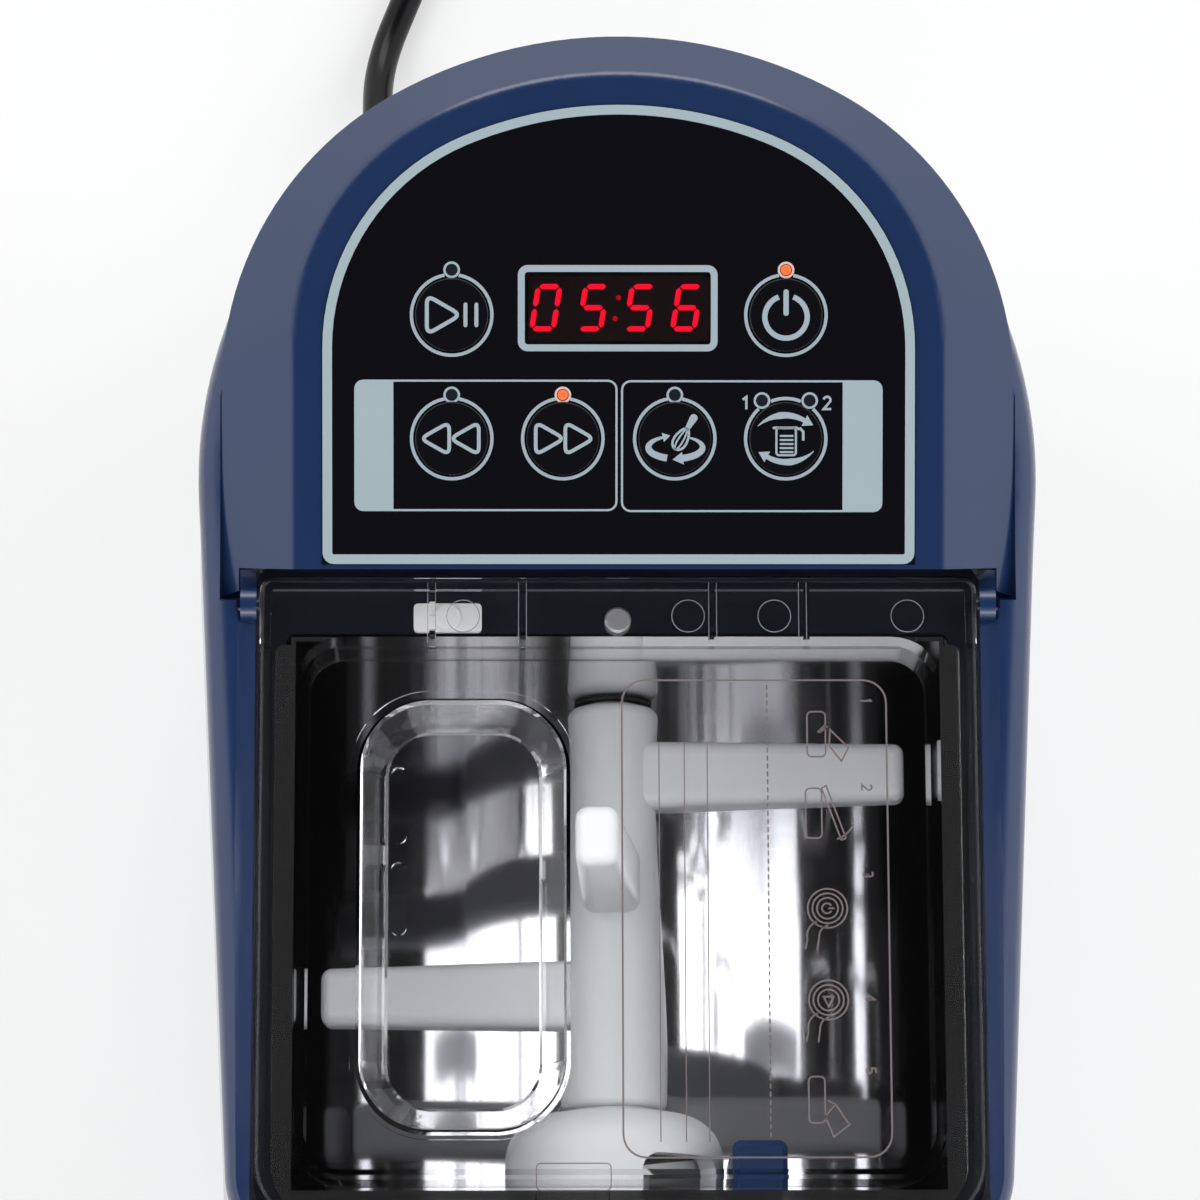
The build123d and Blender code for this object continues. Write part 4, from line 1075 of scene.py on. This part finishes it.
@dataclass(frozen=True)
class Display:
    """Four slanted seven-segment digits with a colon, under the smoked window."""

    centre: Point = (0.0, 57.0)
    digit_x: tuple[float, ...] = (-15.9, -5.6, 4.55, 14.8)
    digits: tuple[Digit, ...] = (Digit.ZERO, Digit.FIVE, Digit.FIVE, Digit.SIX)
    half_width: float = 2.35
    half_height: float = 4.6
    thickness: float = 1.15
    gap: float = 0.42
    slant: float = 9.0
    dots: tuple[Point, ...] = ((-0.06, 59.2), (-0.79, 54.65))
    dot_radius: float = 0.57
    depth: float = -0.79
    skin: float = 0.1

    def _bar(self, along: bool, x: float, v: float, length: float) -> list[Point]:
        """Give the outline of one segment.

        Args:
            along: Whether it lies flat.
            x: Its middle, to the right of the digit's.
            v: Its middle, above the digit's.
            length: Its length from tip to tip.

        Returns:
            Its six corners.
        """
        half, tip = length / 2, self.thickness / 2
        flat = half - tip
        shape = [(-half, 0), (-flat, -tip), (flat, -tip), (half, 0), (flat, tip), (-flat, tip)]
        return [(x + a, v + b) if along else (x + b, v + a) for a, b in shape]

    def build(self) -> None:
        """Draw the digits and the colon."""
        lean = math.tan(math.radians(self.slant))
        w, h = self.half_width, self.half_height
        wide, tall = 2 * w - self.gap, h - self.gap
        bars = {
            "a": self._bar(True, 0, h, wide),
            "b": self._bar(False, w, h / 2, tall),
            "c": self._bar(False, w, -h / 2, tall),
            "d": self._bar(True, 0, -h, wide),
            "e": self._bar(False, -w, -h / 2, tall),
            "f": self._bar(False, -w, h / 2, tall),
            "g": self._bar(True, 0, 0, wide),
        }
        lit = Print(PANEL, self.depth, self.skin, self.centre)
        for x, digit in zip(self.digit_x, self.digits):
            for letter in digit.value:
                lit.fill([(x + a + b * lean, b) for a, b in bars[letter]])
        lit.build("display_digits", "base", "lamp_orange", RED_SEGMENT)
        colon = Print(PANEL, self.depth, self.skin)
        for dot in self.dots:
            colon.fill(ring(dot, self.dot_radius))
        colon.build("display_colon", "base", "lamp_orange", DIM_SEGMENT)


@dataclass(frozen=True)
class KeySymbol:
    """Draws a key's symbol round the key's middle, with one method for each key, named as the key is."""

    layer: Print
    line: float = 0.86
    pair_line: float = 0.8
    power_line: float = 1.15
    ink_step: float = 0.01
    arrow_steps: int = 20

    def start_pause(self) -> None:
        """Draw a play triangle and two bars."""
        outline = [(-5.4, -4.25), (2.0, 0), (-5.4, 4.25)]
        self.layer.line(softened(outline, 1.9), self.line, True)
        for x in (3.0, 5.38):
            self.layer.fill(pill((x, -2.25), (x, 2.25), self.line))

    def power(self) -> None:
        """Draw an open circle with a bar."""
        self.layer.line(arc((0, -0.4), 4.62, 110, 430, 40), self.power_line)
        self.layer.fill(pill((0, 0.4), (0, 5.05), self.power_line))

    def _pair(self, way: int) -> None:
        """Draw two outlined triangles.

        Args:
            way: 1 to point right, -1 to point left.
        """
        for base in (-5.9, 0.54):
            outline = [(way * base, -3.55), (way * (base + 6.25), 0), (way * base, 3.55)]
            self.layer.line(softened(outline, 1.7), self.pair_line, True)

    def backward(self) -> None:
        """Draw two triangles that point left."""
        self._pair(-1)

    def forward(self) -> None:
        """Draw two triangles that point right."""
        self._pair(1)

    def _arrow(self, centre: Point, radii: Point, ends: Point, widths: Place, head: float) -> None:
        """Draw an arrow along part of an ellipse.

        Args:
            centre: Centre of the ellipse.
            radii: Its half width and half height.
            ends: First and last angle in degrees.
            widths: Width of the line at its start, middle and end.
            head: Length of the arrowhead.
        """
        points, spread = [], []
        for step in range(self.arrow_steps + 1):
            share = step / self.arrow_steps
            angle = math.radians(ends[0] + (ends[1] - ends[0]) * share)
            points.append((centre[0] + radii[0] * math.cos(angle), centre[1] + radii[1] * math.sin(angle)))
            first, second = widths[:2] if share < 0.5 else widths[1:]
            spread.append(first + (second - first) * (2 * share % 1 if share < 1 else 1))
        self.layer.line(points, spread)
        lean = math.atan2(points[-1][1] - points[-2][1], points[-1][0] - points[-2][0])
        tip = (points[-1][0] + head * math.cos(lean), points[-1][1] + head * math.sin(lean))
        wing = 0.6 * head
        self.layer.fill(turned([(0, 0), (-head, wing), (-head, -wing)], math.degrees(lean), tip))

    def mixing(self) -> None:
        """Draw a whisk over two arrows that go round."""
        bowl, radii = (0.15, -1.9), (5.9, 2.45)
        self._arrow(bowl, radii, (252, 118), (1.5, 1.4, 0.55), 1.7)
        self._arrow(bowl, radii, (58, -74), (0.4, 1.35, 1.5), 2.3)
        self.layer.height += self.ink_step
        foot, lean = (0.1, -2.3), 59.5
        self.layer.fill(turned([(5.0, -0.5), *arc((7.9, 0), 0.85, -90, 90, 8), (5.0, 0.5)], lean, foot))
        for share, width in ((1.0, 0.5), (0.38, 0.38)):
            loop = []
            for angle in range(0, 360, 20):
                along = 2.6 - 2.6 * math.cos(math.radians(angle))
                loop.append((along, share * math.sin(math.radians(angle)) * (1.8 - 0.14 * along)))
            self.layer.line(turned(loop, lean, foot), width, True)

    def batch(self) -> None:
        """Draw a basket of noodles between two arrows that go round."""
        for side, start in ((1, 134), (-1, 314)):
            centre = (-0.2 * side, -3.4 * side)
            self._arrow(centre, (8.5, 8.5), (start, start - 74), (0.15, 1.5, 1.0), 2.2)
        self.layer.line(rounded(-2.05, -3.6, 2.2, 2.3, 0.6), 0.45, True)
        self.layer.fill(pill((-2.6, 2.35), (2.4, 2.35), 0.6))
        self.layer.line([(2.5, 2.1), (3.2, 2.2), (3.8, 1.5), (3.8, -0.4)], 0.55)
        for step in range(5):
            low = 0.6 - 0.88 * step
            self.layer.fill(pill((-1.15, low), (1.5, low), 0.42))


@dataclass(frozen=True)
class KeyPanel(Assembly):
    """Film with its border, group boxes and key rings, the keys' symbols, the lamps and the display."""

    keys: tuple[tuple[str, float, float], ...] = (
        ("key_start_pause", -36.4, 55.4),
        ("key_power", 36.4, 55.4),
        ("key_backward", -36.4, 28.5),
        ("key_forward", -12.2, 28.5),
        ("key_mixing", 12.2, 28.5),
        ("key_batch", 36.4, 28.5),
    )
    lamps: tuple[Point, ...] = (
        (-36.4, 65.2),
        (36.4, 65.2),
        (-36.4, 38.0),
        (-12.2, 38.0),
        (12.2, 38.0),
        (31.2, 36.8),
        (41.6, 36.8),
    )
    lit_lamps: tuple[Point, ...] = ((36.4, 65.2), (-12.2, 38.0))
    lens_rings: tuple[Point, ...] = ((1.15, 0.35), (1.1, 0.5), (0.8, 0.66), (0.4, 0.73))
    ring_radius: float = 8.76
    ring_width: float = 0.72
    ring_step: float = 5.0
    lamp_ring: float = 1.57
    lamp_ring_width: float = 0.5
    border_width: float = 2.1
    frame_width: float = 1.5
    frame_corner: float = 1.4
    digit_width: float = 0.5
    box_width: float = 0.45
    box_corner: float = 1.9
    ink: float = 0.04
    ink_step: float = 0.01
    film_top: float = 0.3
    cap_top: float = 0.7
    display: Display = Display()
    finishes = {
        "overlay_film": FILM,
        "display_window": SMOKED,
        "led_display": DARK_FACE,
        "indicator_lamps": UNLIT,
        "control_board": BOARD,
        "key_switches": SWITCH,
        **{name: KEY_CAP for name, _, _ in keys},
    }

    def draw(self, frame: dict) -> None:
        """Print the film and the keys, and light the lamps.

        Args:
            frame: The loaded frame, which the prints don't need.
        """
        self._border()
        self._rings()
        self._groups()
        self._lenses()
        self.display.build()
        for name, x, v in self.keys:
            layer = Print(PANEL, self.cap_top, self.ink, (x, v))
            symbol = name.removeprefix("key_")
            getattr(KeySymbol(layer), symbol)()
            layer.build(f"symbol_{symbol}", name, "pale_grey_plastic", INK_LINE)

    def _border(self) -> None:
        """Print the pale line round the film."""
        layer = Print(PANEL, self.film_top, self.ink)
        layer.line(arch(63.5, 2.2, 100.0, 86.9, 48.9), self.border_width, True)
        layer.build("film_border", "base", "pale_grey_plastic", INK)

    def _rings(self) -> None:
        """Print the rings round the keys and lamps, the display's frame and the two small digits; the rings
        round lit lamps get a warm ink that paints the lamps' glow on them.
        """
        layer = Print(PANEL, self.film_top, self.ink)
        half_gap = math.degrees(self.lamp_ring / self.ring_radius)
        for _, x, v in self.keys:
            near = [lamp for lamp in self.lamps if math.dist(lamp, (x, v)) < self.ring_radius + 2]
            gaps = sorted(math.degrees(math.atan2(lamp[1] - v, lamp[0] - x)) for lamp in near)
            for start, end in zip(gaps, gaps[1:] + [gaps[0] + 360]):
                steps = max(4, int((end - start) / self.ring_step))
                points = arc((x, v), self.ring_radius, start + half_gap, end - half_gap, steps)
                layer.line(points, self.ring_width)
        # Rings round lit lamps: painted glow of the lamp on the print.
        painted_glow_layer = Print(PANEL, self.film_top, self.ink)
        for lamp in self.lamps:
            target = painted_glow_layer if lamp in self.lit_lamps else layer
            target.line(ring(lamp, self.lamp_ring), self.lamp_ring_width, True)
        painted_glow_layer.build("film_rings_painted_glow", "base", "pale_grey_plastic", INK_PAINTED_LAMP_GLOW)
        layer.line(rounded(-21.25, 48.25, 20.75, 65.5, self.frame_corner), self.frame_width, True)
        one = [(27.0, 37.0), (27.8, 37.6), (27.8, 34.9)]
        two = arc((45.4, 36.9), 0.75, 170, -20, 8) + [(44.65, 34.95), (46.3, 34.95)]
        for digit in (one, two):
            layer.line(digit, self.digit_width)
        layer.build("film_rings", "base", "pale_grey_plastic", INK_LINE)

    def _groups(self) -> None:
        """Print the two group boxes with their filled tabs."""
        layer = Print(PANEL, self.film_top, self.ink)
        corner = self.box_corner
        layer.line(rounded(-57.4, 12.9, -0.5, 41.1, corner), self.box_width, True)
        layer.line(rounded(0.7, 12.7, 57.3, 41.0, corner), self.box_width, True)
        layer.height += self.ink_step
        for side, inner, outer, low, high in ((-1, 49.1, 57.6, 12.7, 41.3), (1, 48.8, 57.5, 12.5, 41.2)):
            tab = [(inner, low)] + arc((outer - corner, low + corner), corner, -90, 0, 6)
            tab += arc((outer - corner, high - corner), corner, 0, 90, 6) + [(inner, high)]
            layer.fill([(side * x, v) for x, v in tab])
        layer.build("film_groups", "base", "pale_grey_plastic", INK)

    def _lenses(self) -> None:
        """Put a lens on each lamp that is lit."""
        for number, lamp in enumerate(self.lit_lamps, 1):
            mesh = bmesh.new()
            rows = []
            for radius, height in self.lens_rings:
                rows.append([mesh.verts.new(PANEL.at(x, v, height)) for x, v in ring(lamp, radius)])
            for low, high in zip(rows, rows[1:]):
                wall(mesh, low, high, smooth_faces=True)
            mesh.faces.new(rows[-1])
            mesh.faces.new(list(reversed(rows[0])))
            piece(f"lamp_lens_{number}", mesh, "base", ORANGE_LAMP)


# -------- lid


@dataclass(frozen=True)
class Lid(Assembly):
    """Clear lid with its printed legend, and its moulding marks drawn in a pale finish that paints the
    highlights on its moulded edges.
    """

    finishes = {"lid": CLEAR}
    line: float = 0.36
    outline_width: float = 0.4
    dash_width: float = 0.34
    dash_x: float = 32.3
    dash_step: float = 1.75
    dash_length: float = 1.1
    rule_width: float = 0.24
    rules: tuple[float, ...] = (8.7, 14.2, 19.2)
    number_x: float = 53.9
    picture_x: float = 45.0
    steps: tuple[Point, ...] = ((2.5, -5.0), (-16.8, -23.0), (-35.9, -45.0), (-63.0, -65.0), (-78.7, -86.0))
    legend_ink: float = 0.03
    ribs: tuple[float, ...] = (-40.9, -21.0, 20.7, 40.4)
    rib_half: float = 0.85
    rib_line: float = 0.14
    ejectors: tuple[float, ...] = (-34.0, 15.3, 34.2, 63.4)
    ejector_y: float = 21.8
    ejector_radius: float = 3.6
    ejector_line: float = 0.16

    def draw(self, frame: dict) -> None:
        """Print the legend and draw the moulding marks as painted highlights.

        Args:
            frame: The loaded frame, which the prints don't need.
        """
        self._legend()
        self._moulding_mark_highlights()

    def _legend(self) -> None:
        """Print the outline, rules, plain digits and step pictures on the right half of the lid."""
        layer = Print(LID_TOP, 0.0, self.legend_ink)
        layer.line(rounded(0.65, -97.4, 58.3, 7.0, 5.0), self.outline_width, True)
        for step in range(57):
            start = 6.0 - self.dash_step * step
            layer.line([(self.dash_x, start), (self.dash_x, start - self.dash_length)], self.dash_width)
        for x in self.rules:
            layer.line([(x, -7.0), (x, -94.0)], self.rule_width)
        for digit, picture, (digit_v, picture_v) in zip(self._digits(), self._pictures(), self.steps):
            layer.line(turned(digit, -90, (self.number_x, digit_v)), self.line)
            for points, closed in picture:
                layer.line(turned(points, -90, (self.picture_x, picture_v)), self.line, closed)
        layer.line(rounded(-18.0, -104.4, -2.0, -98.6, 1.0), 0.25, True)
        layer.build("lid_legend", "lid", "led_black", LEGEND)

    @staticmethod
    def _digits() -> list[list[Point]]:
        """Give the plain digits from 1 to 5.

        Returns:
            The line of each, upright and round its middle.
        """
        return [
            [(-0.3, 0.7), (0.1, 1.1), (0.1, -1.1)],
            arc((0, 0.45), 0.6, 160, -30, 8) + [(-0.6, -1.1), (0.7, -1.1)],
            arc((0, 0.5), 0.55, 150, -80, 8) + arc((0, -0.5), 0.62, 80, -150, 8),
            [(0.35, -1.1), (0.35, 1.1), (-0.7, -0.4), (0.8, -0.4)],
            [(0.6, 1.1), (-0.4, 1.1), (-0.5, 0.2)] + arc((0, -0.4), 0.65, 110, -140, 9),
        ]

    @staticmethod
    def _pictures() -> list[list[Stroke]]:
        """Give the small pictures of the five steps.

        Returns:
            The lines of each, upright and round its middle, with whether a line is closed.
        """
        flour = [([(0.4 * s - 1.6, 0.6 - 0.5 * s), (0.4 * s - 1.8, -0.6 - 0.4 * s)], False) for s in range(4)]
        key = [(ring((-1.6, 0), radius), True) for radius in (4.3, 3.3, 2.3)]
        power = [(arc((-1.6, -0.1), 1.1, 120, 420, 14), False), ([(-1.6, 0.2), (-1.6, 1.5)], False)]
        start = [([(-2.3, -1.1), (-0.2, 0), (-2.3, 1.1)], True)]
        finger = [
            (arc((4.4, -1.2), 3.3, 200, 285, 10) + [(7.4, -4.9)], False),
            (arc((4.6, 0.6), 2.5, 190, 275, 10) + [(7.6, -2.3)], False),
        ]
        filling = [(rounded(-5, -4, 5, 0, 1), True), ([(-1, 1), (3, 5), (6, 3.4), (2.6, 0.8)], True)]
        closing = [
            (rounded(-6, -4.5, 5, -1, 1), True),
            ([(-6, -1), (-6.6, 0), (5, 4.2), (5.4, 3.2)], True),
            (arc((-1, 0), 6.6, 20, 62, 8), False),
        ]
        pouring = [
            (rounded(-6, -4.5, 4, -1, 1), True),
            ([(0, 1.2), (4.4, 4.2), (7.0, 0.8), (2.6, -1.0)], True),
            ([(0, 1.2), (-0.8, -0.4)], False),
        ]
        return [filling + flour, closing, key + power + finger, key + start + finger, pouring]

    def _moulding_mark_highlights(self) -> None:
        """Draw the ejector circles and the feet of the ribs on the underside of the back strip, in a pale
        finish that paints the highlights these moulded edges catch in the clear plastic.
        """
        layer = Print(LID_UNDERSIDE, -0.16, 0.15)
        for x in self.ejectors:
            layer.line(ring((x, self.ejector_y), self.ejector_radius), self.ejector_line, True)
        for x in self.ribs:
            for side in (-self.rib_half, self.rib_half):
                layer.line([(x + side, 15.8), (x + side, 29.2)], self.rib_line)
        # Pale lines: painted highlights of the clear plastic's moulded edges.
        layer.build("lid_ejector_marks_painted_highlight", "lid", "clear_smoke", EDGE_PAINTED_HIGHLIGHT)


# -------- the whole


def main() -> None:
    """Build the scene piece by piece."""
    logging.basicConfig(level=logging.INFO, format="%(name)s: %(message)s")
    for old in list(bpy.data.objects):
        bpy.data.objects.remove(old)
    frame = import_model()
    Studio().build()
    for part in (MainsCord(), Casing(), KeyPanel(), MixingChamber(), Lid(), Drive()):
        part.build(frame)
        LOG.info("%s is done", type(part).__name__)
    bpy.context.view_layer.update()


if __name__ == "__main__":
    main()
